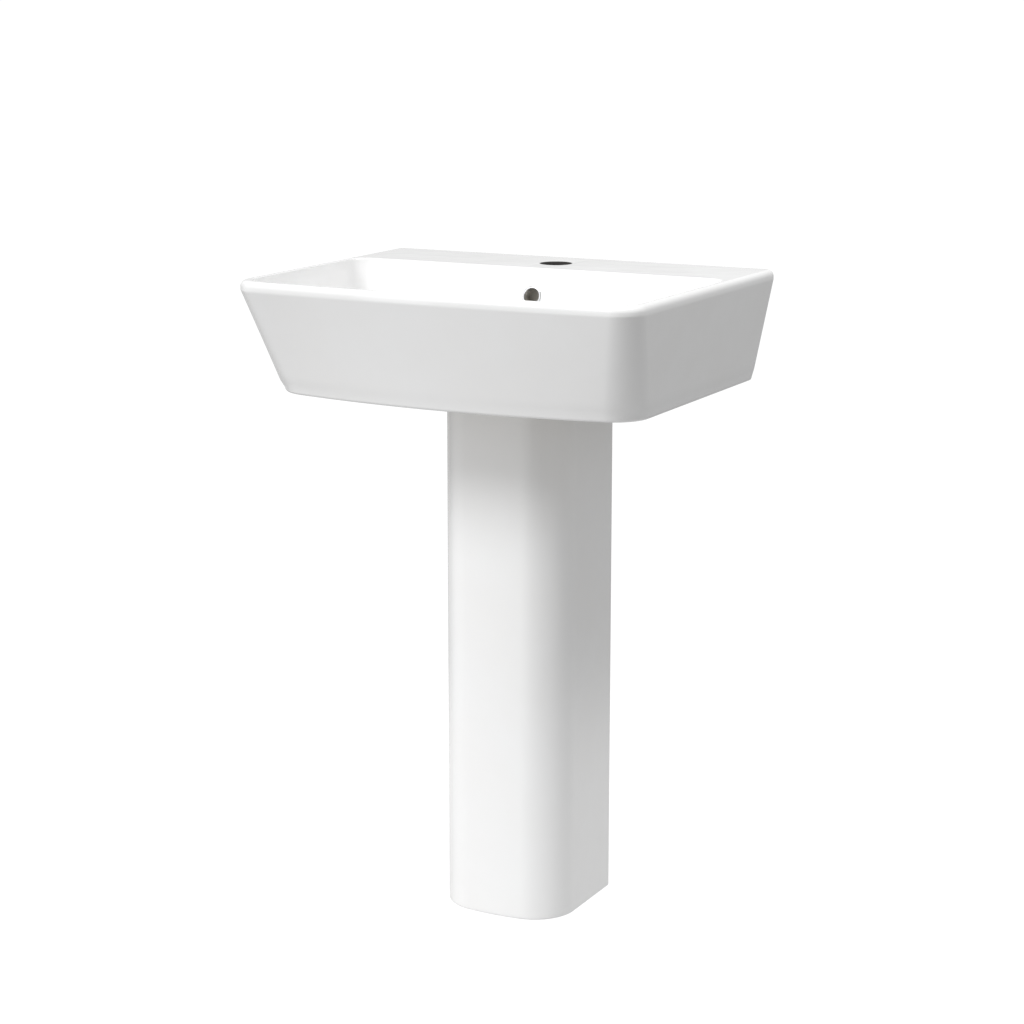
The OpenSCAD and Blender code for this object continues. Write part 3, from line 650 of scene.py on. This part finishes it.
def waterWay(grow):
    # sloping duct behind the bowl's back, from the overflow hole down to the waste hole
    s = named(basinSizes)
    slope = math.tan(math.radians(s.backSlope))
    bend = s.bowlDepth - s.floorFall - s.floorRound
    rim, floor, outlet = rimZ / mm, floorZ / mm, outletY / mm
    depth, width = 12, 32

    def behind(z, gap):
        return wallY / mm - s.ledgeDepth - slope * min(rim - z, bend) + gap

    top = rim - 35 + 12.5
    chamberTop, chamberBottom = floor - 14, floor - 28
    foot = behind(chamberTop, s.shellWall + depth) + grow
    near = outlet + 22.5 - 4
    corners = [(behind(top, s.shellWall) - grow, top + grow),
               (behind(top, s.shellWall + depth) + grow, top + grow),
               (foot, rim - bend), (foot, chamberBottom - grow), (near, chamberBottom - grow),
               (near, chamberTop + grow), (behind(chamberTop, s.shellWall) - grow, chamberTop + grow),
               (behind(chamberTop, s.shellWall) - grow, rim - bend)]
    bm = bmesh.new()
    face = bm.faces.new([bm.verts.new((-(width / 2 + grow) * mm, y * mm, z * mm)) for y, z in corners])
    made = bmesh.ops.extrude_face_region(bm, geom=[face])
    moved = [v for v in made["geom"] if isinstance(v, bmesh.types.BMVert)]
    bmesh.ops.translate(bm, verts=moved, vec=((width + 2 * grow) * mm, 0, 0))
    bmesh.ops.recalc_face_normals(bm, faces=bm.faces)
    if grow:
        bmesh.ops.bevel(bm, geom=bm.edges[:], offset=2.5 * mm, offset_type="OFFSET", affect="EDGES",
                        segments=3, profile=0.5, material=-1)
    return tool("waterWay", bm)


def boss(shorter):
    # the ring of ceramic round the waste hole
    depth = 38
    bm = turned([(0, -depth), (32.5, -depth), (32.5, -6 - shorter), (0, -6 - shorter)], [0, 2, 0, 0], 96)
    place(bm, None, (0, outletY, floorZ))
    return tool("boss", bm)


def basinHoles():
    tapY = wallY - 0.068
    round35 = [(0, -20), (17.5, -20), (17.5, -3.5)]
    edge = [(21 - 3.5 * math.cos(a), -3.5 + 3.5 * math.sin(a)) for a in quarter(10, 1)]
    tap = turned([*round35, *edge[:-1], (21.4, 0.02), (21.4, 4), (0, 4)], 0, 96)
    place(tap, None, (0, tapY, rimZ))
    holes = [tool("tapHole", tap)]
    waste = turned([(0, -50), (22.5, -50), (22.5, -4), (33, -4), (33, -0.8), (33.8, 0.02), (33.8, 3),
                    (0, 3)],
                   [0, 0, 0, 1, 0, 0, 0, 0], 96)
    place(waste, None, (0, outletY, floorZ))
    holes.append(tool("wasteHole", waste))
    over = turned([(0, -13), (11.5, -13), (11.5, -0.6), (12.3, 0.05), (12.3, 20), (0, 20)], 0, 64)
    place(over, byDegrees(90 - basinSizes["backSlope"], "X"), overflowPlace())
    holes.append(tool("overflowHole", over))
    for side in (-1, 1):
        bolt = turned([(0, -12), (8.6, -12), (7.35, -9.3), (7.35, -0.8), (8.2, 0.02), (8.2, 2), (0, 2)], 0,
                      48)
        place(bolt, byDegrees(-90, "X"), (side * 0.14, wallY, rimZ - 0.072))
        holes.append(tool("boltHole", bolt))
    return holes


def overflowPlace():
    s = named(basinSizes)
    return (0, wallY - (s.ledgeDepth + math.tan(math.radians(s.backSlope)) * 35) * mm, rimZ - 35 * mm)


basin, basinCuts = buildBasin()
finished(basin, glazed, "sink", ["basin"], others=basinCuts)


# ---- pedestal ----

def buildPedestal():
    p = named(pedestalSizes)
    top = seatZ
    soft = p.round
    ends = [(soft * (1 - math.sin(a)), soft * (1 - math.cos(a))) for a in quarter(5)]
    outside = [(metres(pedestalPlan(inset)), up * mm) for inset, up in ends]
    outside += [(metres(pedestalPlan(0)), z * mm) for z in (8, 40, 150, 350, 550, top / mm - 8)]
    outside += [(metres(pedestalPlan(inset)), top - up * mm) for inset, up in reversed(ends)]
    pedestal = tool("pedestalShell", skinned(outside))
    wall = p.wall

    def core(bottom, above, rounding):
        inner = [(metres(pedestalPlan(wall + rounding, (6, 4, 12, 20, 14))), bottom),
                 (metres(pedestalPlan(wall + rounding * 0.3, (6, 4, 12, 20, 14))),
                  bottom + rounding * 0.7 * mm),
                 (metres(pedestalPlan(wall, (6, 4, 12, 20, 14))), bottom + rounding * 2 * mm),
                 (metres(pedestalPlan(wall, (6, 4, 12, 20, 14))), above)]
        hollow = tool("core", skinned(inner))
        return combine(hollow, tool("lips", block((-0.2, p.backY * mm - wall * mm, bottom - 0.01),
                                                  (0.2, wallY, above + 0.01))))

    inside = core(p.flangeHeight * mm, top + 1 * mm, 4)
    mouth = (p.width / 2 - p.lip) * mm
    back = p.backY * mm
    for bottom, above in ((p.flangeHeight, p.ribZ), (p.ribZ + p.ribHeight, top / mm + 20)):
        gap = block((-mouth, back - wall * mm - 0.001, bottom * mm), (mouth, back + 0.03, above * mm),
                    0.006, 5)
        combine(inside, tool("mouth", gap), "UNION")
    innerHalf = (p.width / 2 - wall - p.flangeWidth) * mm
    front = (p.frontY + wall + p.flangeWidth) * mm
    foot = block((-innerHalf, front, -0.02), (innerHalf, back + 0.03, (p.flangeHeight + 8) * mm), 0.008, 5)
    combine(inside, tool("foot", foot), "UNION")
    tree = treeOf(inside)
    combine(pedestal, inside)
    holeX = (p.width / 2 - wall - p.flangeWidth / 2 + 1) * mm
    for side in (-1, 1):
        hole = turned([(0, -4), (3.5, -4), (3.5, 13), (5, 14.05), (5, 20), (0, 20)], 0, 40)
        place(hole, None, (side * holeX, back - p.screwBack * mm, 0))
        combine(pedestal, tool("screwHole", hole))
    print("pedestal:", len(pedestal.data.polygons), "faces")
    return pedestal, tree


pedestal, insideTree = buildPedestal()
finished(pedestal, glazed, "sink", ["pedestal"], others=[(bareClayAndWayShade, insideTree)])


# ---- overflow ring and wall bolt collars ----

ringSizes = {"flange": 13.1, "flangeDepth": 1.6, "sleeve": 11.2, "bore": 10.3, "length": 9, "clips": 4}


def buildRing():
    k = named(ringSizes)
    bm = turned([(k.bore, -k.length), (k.sleeve, -k.length), (k.sleeve, 0), (k.flange, 0),
                 (k.flange, k.flangeDepth), (k.bore, k.flangeDepth)],
                [0.3, 0.3, 0, 0.25, 0.9, 0.8], 96, 5)
    ring = tool("overflowTrimRing", bm)
    for i in range(k.clips):                  # slits that let the sleeve spring into the ceramic
        slit = block((-0.6 * mm, 9.6 * mm, -12 * mm), (0.6 * mm, 12 * mm, -2.6 * mm))
        bmesh.ops.rotate(slit, verts=slit.verts, cent=(0, 0, 0),
                         matrix=Matrix.Rotation(math.tau * (i + 0.5) / k.clips, 3, "Z"))
        combine(ring, tool("slit", slit))
    ring.data.transform(Matrix.Translation(overflowPlace())
                        @ byDegrees(90 - basinSizes["backSlope"], "X", 4))
    return finished(ring, chrome, "sink", ["overflow_ring"])


collarSizes = {"bore": 5.25, "sleeve": 7.25, "flange": 14.25, "flangeDepth": 3, "length": 13,
               "spacing": 140,
               "drop": 72, "ribs": 8}


def buildCollars():
    k = named(collarSizes)
    both = bmesh.new()
    for side in (-1, 1):
        bm = turned([(k.bore, 0), (k.sleeve, 0), (k.sleeve, k.length - k.flangeDepth),
                     (k.flange, k.length - k.flangeDepth), (k.flange, k.length), (k.bore, k.length)],
                    [0.4, 0.6, 0, 0.5, 0.9, 0.6], 72, 4)
        place(bm, byDegrees(90, "X"), (side * k.spacing * mm, wallY, rimZ - k.drop * mm))
        merged(both, bm)
    collars = tool("wallBoltCollars", both)
    return finished(collars, nylon, "sink", ["wall_bolt_collars"])


buildRing()
buildCollars()
print("overflow ring and wall bolt collars")


# ---- waste ----

wasteSizes = {"flange": 31.5, "flangeDepth": 2.8, "outer": 20.75, "inner": 18.5, "mouth": 24, "length": 78,
              "core": 20.1, "threadFrom": 33, "pitch": 2.3, "webTop": -50, "webDepth": 8, "hub": 7,
              "stud": 4.05,
              "arm": 3, "slotWide": 14, "slotTop": -15, "slotBottom": -27}


def levels(node):                    # foot and top of a CAD node over the bowl's outlet
    return [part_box(node)[i][2] / mm - floorZ / mm for i in (0, 1)]


def onOutlet(bm, up=0):
    place(bm, None, (0, outletY, floorZ + up * mm))
    return bm


def carve(target, name, bm, *how):               # takes a shape on the outlet's axis away, or adds it
    combine(target, tool(name, onOutlet(bm)), *how)


def buildWaste():
    k = named(wasteSizes)
    bm = turned([(k.inner, -k.length), (k.core, -k.length), (k.outer, -k.length + 1),
                 (k.outer, -k.length + 2.2), (k.core, -k.length + 3), (k.core, -k.threadFrom - 0.7),
                 (k.outer, -k.threadFrom), (k.outer, -k.flangeDepth), (k.flange, -k.flangeDepth),
                 (k.flange, 0), (k.mouth, 0), (k.inner, k.inner - k.mouth)],
                [0.3, 0, 0, 0, 0, 0, 0, 0.6, 0.5, 1.5, 1.3, 4], 120, 5)
    waste = tool("wasteFitting", onOutlet(bm))
    ridge = threadRidge(k.core, k.pitch, -k.length + 3.4, -k.threadFrom - 1, k.outer - k.core - 0.02)
    carve(waste, "thread", ridge, "UNION")
    for turn in (45, 135):
        slot = block((-0.03, -k.slotWide / 2 * mm, k.slotBottom * mm),
                     (0.03, k.slotWide / 2 * mm, k.slotTop * mm),
                     4 * mm, 5)
        place(slot, byDegrees(turn, "Z"))
        carve(waste, "slot", slot)
    hub = turned([(0, 0), (k.hub, 0), (k.hub, k.webDepth), (0, k.webDepth)], [0, 1, 1, 0], 48)
    web = tool("hub", hub)
    for turn in (0, 120, 240):
        arm = block((0, -k.arm / 2 * mm, 0.6 * mm),
                    ((k.inner + 1) * mm, k.arm / 2 * mm, (k.webDepth - 0.6) * mm),
                    0.8 * mm)
        place(arm, byDegrees(turn, "Z"))
        combine(web, tool("arm", arm), "UNION")
    combine(web, tool("studHole", turned([(0, -2), (k.stud, -2), (k.stud, 12), (0, 12)], 0, 48)))
    web.data.transform(Matrix.Translation((0, outletY, floorZ + (k.webTop - k.webDepth) * mm)))
    combine(waste, web, "UNION")
    return finished(waste, chrome, "sink", ["waste_body"], sharp=40)


def washer(name, node, outer, inner, material, corner, body="sink", steps=96, profile=None):
    # a ring between the levels of its CAD node
    lowest, highest = levels(node)
    points = profile or [(inner, lowest), (outer, lowest), (outer, highest), (inner, highest)]
    return finished(tool(name, onOutlet(turned(points, corner, steps))), material, body, [node])


nutSizes = {"top": -44.5, "height": 9, "corner": 29.5, "bore": 20.85, "chamfer": 1.6}


def buildBackNut():
    k = named(nutSizes)
    bm = bmesh.new()
    bmesh.ops.create_cone(bm, cap_ends=True, segments=6, radius1=k.corner * mm, radius2=k.corner * mm,
                          depth=k.height * mm)
    place(bm, byDegrees(30, "Z"), (0, 0, (k.top - k.height / 2) * mm))
    nut = tool("wasteBackNut", onOutlet(bm))
    foot, top = k.top - k.height - 0.001, k.top + 0.001
    flat = k.corner * math.cos(math.pi / 6)   # chamfers run from the flats out over the corners
    shape = turned([(0, foot), (flat, foot), (k.corner + 0.4, foot + k.chamfer * 1.5),
                    (k.corner + 0.4, top - k.chamfer * 1.5), (flat, top), (0, top)], 0, 120)
    carve(nut, "chamfer", shape, "INTERSECT")
    bore = turned([(0, foot - 1), (k.bore + 0.8, foot - 1), (k.bore + 0.8, foot), (k.bore, foot + 0.8),
                   (k.bore, top - 0.8), (k.bore + 0.8, top), (k.bore + 0.8, top + 1), (0, top + 1)], 0, 120)
    carve(nut, "bore", bore)
    return finished(nut, brass, "sink", ["waste_backnut"], sharp=25)


buildWaste()
washer("wasteFlangeSeal", "waste_flange_seal", 30.5, 20.95, blackRubber, 0.35)
coneFoot, coneTop = levels("waste_cone_seal")
washer("wasteConeSeal", "waste_cone_seal", 30.5, 20.85, blackRubber, [0.5, 0.8, 0.5, 0.6, 0.4],
       profile=[(20.85, coneFoot), (30.5, coneFoot), (30.5, coneTop - 1.5), (27.5, coneTop),
                (20.85, coneTop)])
washer("wasteSlipWasher", "waste_slip_washer", 30.5, 20.85, nylon, 0.4)
buildBackNut()
print("waste: fitting, seals, washer and backnut")


# ---- plug and its cartridge ----

plugSizes = {"cap": 21.5, "capDome": 3.5, "sealTop": 20.3, "sealFoot": 20.0,
             "stem": 3.5, "collar": 6, "cartridge": 8.5, "cartridgeBore": 6.8, "wire": 0.9, "coil": 5.2,
             "turns": 8}


def buildPlug():
    k = named(plugSizes)
    foot, top = levels("plug_cap")
    r = (k.cap ** 2 + k.capDome ** 2) / (2 * k.capDome)
    start = math.asin(k.cap / r)
    dome = [(r * math.sin(start * (1 - i / 14)),
             top - r + r * math.cos(start * (1 - i / 14))) for i in range(15)]
    cap = turned([(0, foot), (k.cap - 0.8, foot), (k.cap, foot + 0.6), *dome],
                 [0, 0.3, 0.4, 0.9] + [0] * 14, 128, 5)
    finished(tool("plugCap", onOutlet(cap)), chrome, "plug", ["plug_cap"], sharp=40)
    foot, top = levels("plug_seal")
    seal = turned([(3.6, foot), (k.sealFoot - 1.0, foot), (k.sealFoot, foot + 0.9), (k.sealTop, top),
                   (3.6, top)],
                  [0, 0.4, 0.3, 0.3, 0], 112, 4)
    finished(tool("plugSeal", onOutlet(seal)), blackRubber, "plug", ["plug_seal"])
    foot, top = levels("plug_stem")
    stem = turned([(0, foot), (k.collar, foot), (k.collar, foot + 3), (k.stem, foot + 3),
                   (k.stem, top - 3.2),
                   (k.stem - 0.5, top - 2.8), (k.stem - 0.5, top - 2), (k.stem, top - 1.6), (k.stem, top),
                   (0, top)],
                  [0, 0.6, 0.5, 0.4, 0, 0, 0, 0, 0.2, 0], 64, 4)
    finished(tool("plugStem", onOutlet(stem)), brass, "plug", ["plug_stem"])


def buildCartridge():
    k = named(plugSizes)
    foot, top = levels("plug_cartridge")
    floor = wasteSizes["webTop"]
    bm = turned([(0, foot), (4, foot), (4, floor), (k.cartridge, floor), (k.cartridge, floor + 4.2),
                 (k.cartridge - 0.5, floor + 4.7), (k.cartridge - 0.5, floor + 6),
                 (k.cartridge, floor + 6.5),
                 (k.cartridge, top), (k.cartridgeBore, top), (k.cartridgeBore, floor + 3), (0, floor + 3)],
                [0, 0.6, 0, 0.7, 0, 0, 0, 0, 0.2, 0.2, 0.3, 0], 72, 4)
    cartridge = tool("plugCartridge", onOutlet(bm))
    for turn in (0, 90):                         # screwdriver slots across the stud's foot
        slot = block((-0.006, -0.0006, (foot - 1) * mm), (0.006, 0.0006, (foot + 1.2) * mm))
        place(slot, byDegrees(turn, "Z"))
        carve(cartridge, "slot", slot)
    finished(cartridge, greyPlastic, "sink", ["plug_cartridge"])
    foot, top = levels("plug_cartridge_cap")
    cap = tool("plugCartridgeCap",
               onOutlet(turned([(3.55, foot), (k.cartridge, foot), (k.cartridge, top), (3.55, top)],
                                                   [0.2, 0.2, 0.9, 0.5], 72, 4)))
    for side in (-1, 1):                         # notches for the key that tightens it
        notch = block((-0.0011, side * 5 * mm - 0.0009, (top - 1.2) * mm),
                      (0.0011, side * 10 * mm + 0.0009, (top + 1) * mm), 0.0003)
        carve(cap, "notch", notch)
    finished(cap, greyPlastic, "sink", ["plug_cartridge_cap"])


def buildSpring():
    # closed end coils with open ones between, as one round wire
    k = named(plugSizes)
    foot, top = levels("plug_spring")
    bm = bmesh.new()
    radius = k.wire / 2 * mm
    bmesh.ops.create_circle(bm, cap_ends=False, segments=10, radius=radius)
    place(bm, byDegrees(90, "X"), (k.coil * mm, 0, (foot * mm) + radius))
    geom = bm.verts[:] + bm.edges[:]
    bmesh.ops.contextual_create(bm, geom=bm.edges[:])
    height = (top - foot - k.wire) * mm
    close = 1.02 * k.wire * mm
    stretches = [(1, close), (k.turns - 2, height - 2 * close), (1, close)]
    for turns, rise in stretches:
        steps = int(28 * turns)
        made = bmesh.ops.spin(bm, geom=geom, cent=(0, 0, 0), axis=(0, 0, 1), dvec=(0, 0, rise / steps),
                              angle=math.tau * turns, steps=steps, use_merge=False)
        geom = made["geom_last"]
    bmesh.ops.contextual_create(bm, geom=[e for e in geom if isinstance(e, bmesh.types.BMEdge)])
    spring = finished(tool("plugSpring", onOutlet(bm)), wire, "sink", ["plug_spring"],
                      sharp=60)
    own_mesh(spring)


buildPlug()
buildCartridge()
buildSpring()
print("plug, cartridge and spring")


# ---- trap ----

trapSizes = {"lip": 3, "neck": 21.5, "neckBore": 16.1, "pipe": 16, "pipeBore": 14.2, "body": 27,
             "bodyBore": 24.3,
             "ring": 29.5, "pitch": 3, "branchLength": 48, "cupUpper": 30.4, "cupLower": 27.9,
             "cupBore": 24.5,
             "cupWall": 3.4, "grips": 12}
branchZ = sum(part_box("waste_pipe")[i][2] for i in (0, 1)) / 2


def onBranch(bm):                                # turns a piece's axis from upright to along the branch
    place(bm, byDegrees(-90, "X"), (0, outletY, branchZ))
    return bm


def ribbedNut(name, node, outer, bore, lipBore, tall, lift, ribCount, down=False, along=False):
    # threaded from its open end, with an inner lip at the other; tall and lift in millimetres
    lip = trapSizes["lip"]
    bm = turned([(bore, 0), (outer, 0), (outer, tall), (lipBore, tall), (lipBore, tall - lip),
                 (bore, tall - lip)],
                [0.7, 0.9, 3.0, 0.8, 0.3, 0.8], 112, 5)
    nut = tool(name, bm)
    combine(nut, tool("ribs", ribs(outer, 1.6, 0.6, tall - 2.2, ribCount)), "UNION")
    ring = turned([(outer - 1, tall - 3.4), (outer + 0.5, tall - 3.4), (outer + 0.5, tall - 2.4),
                   (outer - 1, tall - 2.4)],
                  [0, 0.4, 0.4, 0], 112, 3)
    combine(nut, tool("collar", ring), "UNION")
    if down:
        nut.data.transform(Matrix.Translation((0, 0, tall * mm)) @ Matrix.Rotation(math.pi, 4, "X"))
    if along:
        nut.data.transform(Matrix.Translation((0, outletY, branchZ)) @ byDegrees(-90, "X", 4)
                           @ Matrix.Translation((0, 0, lift * mm)))
    else:
        nut.data.transform(Matrix.Translation((0, outletY, floorZ + lift * mm)))
    return finished(nut, whitePlastic, "sink", [node], sharp=35)


def neckSeal(name, node, where):
    k = named(trapSizes)
    bm = turned([(k.pipe + 0.05, 0), (k.neck - 0.3, 0), (k.neck - 0.3, 2), (k.pipe + 2, 5),
                 (k.pipe + 0.05, 5)],
                [0.3, 0.4, 0.5, 0.5, 0.3], 96, 3)
    return finished(tool(name, where(bm)), blackRubber, "sink", [node])


def buildTrapBody():
    k = named(trapSizes)
    foot, top = levels("trap_body")
    neckFoot = top - 16
    outside = turned([(0, foot), (k.body - 0.6, foot), (k.body - 0.6, foot + 12.5), (k.body, foot + 13.2),
                      (k.body, foot + 16.5), (k.ring, foot + 16.5), (k.ring, foot + 19.5),
                      (k.body, foot + 19.5),
                      (k.body, neckFoot), (k.neck, neckFoot), (k.neck, top), (0, top)],
                     [0, 0.4, 0, 0, 0.5, 0.8, 0.8, 0.8, 7, 2.2, 0.8, 0], 120, 6)
    body = tool("trapBody", onOutlet(outside))
    branch = turned([(0, 4), (k.neck, 4), (k.neck, k.branchLength), (0, k.branchLength)], [0, 0, 0.8, 0],
                    112, 4)
    combine(body, tool("branch", onBranch(branch)), "UNION")
    seam = block((-0.0009, (outletY + 0.024), branchZ + 0.0204),
                 (0.0009, outletY + 0.048 - 0.014, branchZ + 0.0222), 0.0004)
    combine(body, tool("seam", seam), "UNION")
    inside = turned([(0, foot - 2), (k.bodyBore, foot - 2), (k.bodyBore, neckFoot - 4),
                     (k.neckBore, neckFoot - 4),
                     (k.neckBore, top + 2), (0, top + 2)], [0, 0, 5, 1, 0, 0], 112, 5)
    carve(body, "inside", inside)
    way = turned([(0, 0), (k.neckBore, 0), (k.neckBore, 60), (0, 60)], 0, 112)
    combine(body, tool("way", onBranch(way)))
    ridge = threadRidge(k.body - 0.6, k.pitch, foot + 0.8, foot + 12, 0.55)
    carve(body, "thread", ridge, "UNION")
    return finished(body, whitePlastic, "sink", ["trap_body"], sharp=35)


def buildCup():
    k = named(trapSizes)
    foot, top = levels("trap_cup")
    shoulder = top - 14.8                        # its seal sits on this ledge
    step = shoulder - 6
    outside = turned([(0, foot + 0.8), (14, foot), (k.cupLower, foot), (k.cupLower, step),
                      (k.cupUpper, step),
                      (k.cupUpper, top), (0, top)], [0, 2, 6, 1.5, 1.0, 0.9, 0], 120, 6)
    cup = tool("trapCup", onOutlet(outside))
    grips = ribs(k.cupUpper, 1.5, step + 0.8, top - 2, k.grips)
    carve(cup, "grips", grips, "UNION")
    inside = turned([(0, foot + k.cupWall), (k.cupBore, foot + k.cupWall), (k.cupBore, shoulder),
                     (k.body + 0.85, shoulder), (k.body + 0.85, top - 0.9), (k.body + 1.6, top + 0.01),
                     (k.body + 1.6, top + 3), (0, top + 3)], [0, 4, 0.5, 0, 0, 0, 0, 0], 120, 5)
    carve(cup, "inside", inside)
    ridge = threadRidge(k.body + 0.85, k.pitch, shoulder + 1.2, top - 1.2, 0.5, inside=True)
    carve(cup, "thread", ridge, "UNION")
    return finished(cup, whitePlastic, "cup", ["trap_cup"], sharp=35)


def buildPipes():
    k = named(trapSizes)
    foot, top = levels("trap_dip_tube")
    dip = turned([(k.pipeBore, foot), (k.pipe, foot), (k.pipe, top - 2.5), (20.25, top - 2.5), (20.25, top),
                  (k.pipeBore, top)], [0.5, 0.8, 1.0, 0.5, 0.8, 0.6], 96, 4)
    finished(tool("trapDipTube", onOutlet(dip)), whitePlastic, "sink", ["trap_dip_tube"])
    start, end = ((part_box("waste_pipe")[i][1] - outletY) / mm for i in (0, 1))
    groove = 72
    pipe = turned([(k.pipeBore, start), (k.pipe - 0.8, start), (k.pipe, start + 2.4), (k.pipe, groove),
                   (k.pipe - 0.4, groove + 0.1), (k.pipe - 0.4, groove + 0.9), (k.pipe, groove + 1),
                   (k.pipe, end), (k.pipeBore, end)], [0.3, 0.5, 0, 0, 0, 0, 0, 0.3, 0.3], 96, 4)
    finished(tool("wastePipe", onBranch(pipe)), whitePlastic, "sink", ["waste_pipe"])


inletFoot = levels("trap_inlet_nut")[0]
ribbedNut("trapInletNut", "trap_inlet_nut", 25.25, 20.85, 16.4, 26, inletFoot, 16, down=True)
washer("trapInletSeal", "trap_inlet_seal", 20.25, 14.2, blackRubber, 0.5)
ribbedNut("trapNeckNut", "trap_neck_nut", 26.5, 21.6, 16.4, 21, levels("trap_neck_nut")[0], 14)
neckSeal("trapNeckSeal", "trap_neck_seal", lambda bm: onOutlet(bm, levels("trap_neck_seal")[0]))
buildTrapBody()
buildPipes()
ribbedNut("trapOutletNut", "trap_outlet_nut", 26.5, 21.6, 16.4, 21, 35, 14, along=True)


def outletSealPlace(bm):
    bmesh.ops.translate(bm, verts=bm.verts, vec=(0, 0, trapSizes["branchLength"] * mm))
    return onBranch(bm)


neckSeal("trapOutletSeal", "trap_outlet_seal", outletSealPlace)
washer("trapCupSeal", "trap_cup_seal", 26.8, 24.5, blackRubber, 0.5, body="cup_seal")
buildCup()
print("trap: body, cup, nuts, seals and pipes")


# ---- floor, camera and light ----

stageSizes = {"radius": 1.5, "fadeFrom": 0.55, "fadeTo": 1.35, "white": 0.60, "glow": 0.76, "cover": 0.5}


def paleFloor():
    # pale and matt, thinning out to the white room at its edge
    k = named(stageSizes)
    s = Shader("paleFloor", IOR=1.3, Specular_IOR_Level=0.2, Emission_Strength=1.0)
    mottle = s.between(s.noise(6, 4, 0.5), 0.3, 0.7)
    away = s.node("ShaderNodeVectorMath", {"operation": "LENGTH"}, {0: s.place}, out="Value")
    return s.surfaceIs(Base_Color=s.blend(mottle, colour(k.white - 0.015), colour(k.white)),
                       Roughness=0.8 + mottle * 0.1, Emission_Color=colour(k.glow),
                       Alpha=s.between(away, k.fadeFrom, k.fadeTo, k.cover, 0.0))


def buildFloor():
    bm = bmesh.new()
    bmesh.ops.create_circle(bm, cap_ends=True, cap_tris=True, segments=96, radius=stageSizes["radius"])
    floor = tool("studioFloor", bm)
    floor.data.materials.append(paleFloor())


def aim(thing, place, target):
    thing.location = place
    thing.rotation_euler = (Vector(target) - Vector(place)).to_track_quat("-Z", "Y").to_euler()


cameraView = {"lens": 86.768, "sensor": 36, "place": (1.4158, -2.7012, 1.1991), "down": 12.3795,
              "turn": 27.474}


def buildCamera():
    k = named(cameraView)
    lens = bpy.data.cameras.new("camera")
    lens.lens, lens.sensor_width = k.lens, k.sensor
    camera = bpy.data.objects.new("camera", lens)
    bpy.context.collection.objects.link(camera)
    camera.location = k.place
    camera.rotation_euler = (math.radians(90 - k.down), 0, math.radians(k.turn))
    bpy.context.scene.camera = camera


roomLight = {                                    # how bright the room is, overall and towards each side
    "base": 0.36, "white": 1.05, "below": (-0.70, 0.05, 0.62),
    "sides": [((-0.45, 0.88, 0.15), 0.55, 0.95, 0.31), ((-0.66, -0.74, -0.15), 0.40, 0.98, 0.70),
              ((1.0, 0.35, 0.0), 0.35, 0.95, 0.28)],
}
softboxes = {                                    # place, aimed at, width, height, watts
    "overhead": ((0.75, -0.1, 2.7), (0, 0, 0.8), 1.2, 0.9, 27),
    "frontStrip": ((-1.5, -2.6, 1.2), (0, 0, 0.55), 0.35, 2.2, 2.0),
}
keyLight = {"from": (-0.26, -0.66, 0.70), "spread": 24, "strength": 1.95}


class Sky(Shader):
    def __init__(self, world):
        self.tree = world.node_tree
        self.tree.nodes.clear()
        self.place = self.node("ShaderNodeTexCoord", out="Generated")

    def towards(self, direction, start, end, strength):
        aimed = Vector(direction).normalized()
        nearness = self.node("ShaderNodeVectorMath", {"operation": "DOT_PRODUCT"},
                             {0: self.place, 1: aimed}, out="Value")
        return self.between(nearness, start, end, 0.0, strength)


def buildLights():
    for name, (place, target, width, tall, watts) in softboxes.items():
        light = bpy.data.lights.new(name, "AREA")
        light.shape, light.size, light.size_y, light.energy = "RECTANGLE", width, tall, watts
        lamp = bpy.data.objects.new(name, light)
        bpy.context.collection.objects.link(lamp)
        aim(lamp, place, target)
        lamp.visible_camera = False
    sun = bpy.data.lights.new("key", "SUN")
    sun.angle, sun.energy = math.radians(keyLight["spread"]), keyLight["strength"]
    key = bpy.data.objects.new("key", sun)
    bpy.context.collection.objects.link(key)
    aim(key, Vector(keyLight["from"]) * 4, (0, 0, 0))
    lit = bpy.data.collections.new("litByKey")   # the floor is left out, so the key casts no shadow on it
    lit.objects.link(bpy.data.objects["studioFloor"])
    lit.collection_objects[0].light_linking.link_state = "EXCLUDE"
    key.light_linking.receiver_collection = lit
    world = bpy.data.worlds.new("studio")
    bpy.context.scene.world = world
    world.use_nodes = True
    sky = Sky(world)
    k = named(roomLight)
    up = sky.node("ShaderNodeSeparateXYZ", {}, {0: sky.place}, out=2)
    level = k.base
    for side in k.sides:
        level = sky.towards(*side) + level
    start, end, share = k.below
    level = level * sky.between(up, start, end, share)
    room = sky.node("ShaderNodeBackground", {}, {"Color": (1, 1, 1, 1), "Strength": level})
    seen = sky.node("ShaderNodeBackground", {}, {"Color": (1, 1, 1, 1), "Strength": k.white})
    direct = sky.node("ShaderNodeLightPath", out="Is Camera Ray")
    both = sky.node("ShaderNodeMixShader", {}, {0: direct, 1: room, 2: seen})
    sky.node("ShaderNodeOutputWorld", {}, {"Surface": both}, out=None)
    bpy.context.scene.view_settings.view_transform = "Standard"


buildFloor()
buildCamera()
buildLights()
print("stage: floor, camera and", len(softboxes), "softboxes")
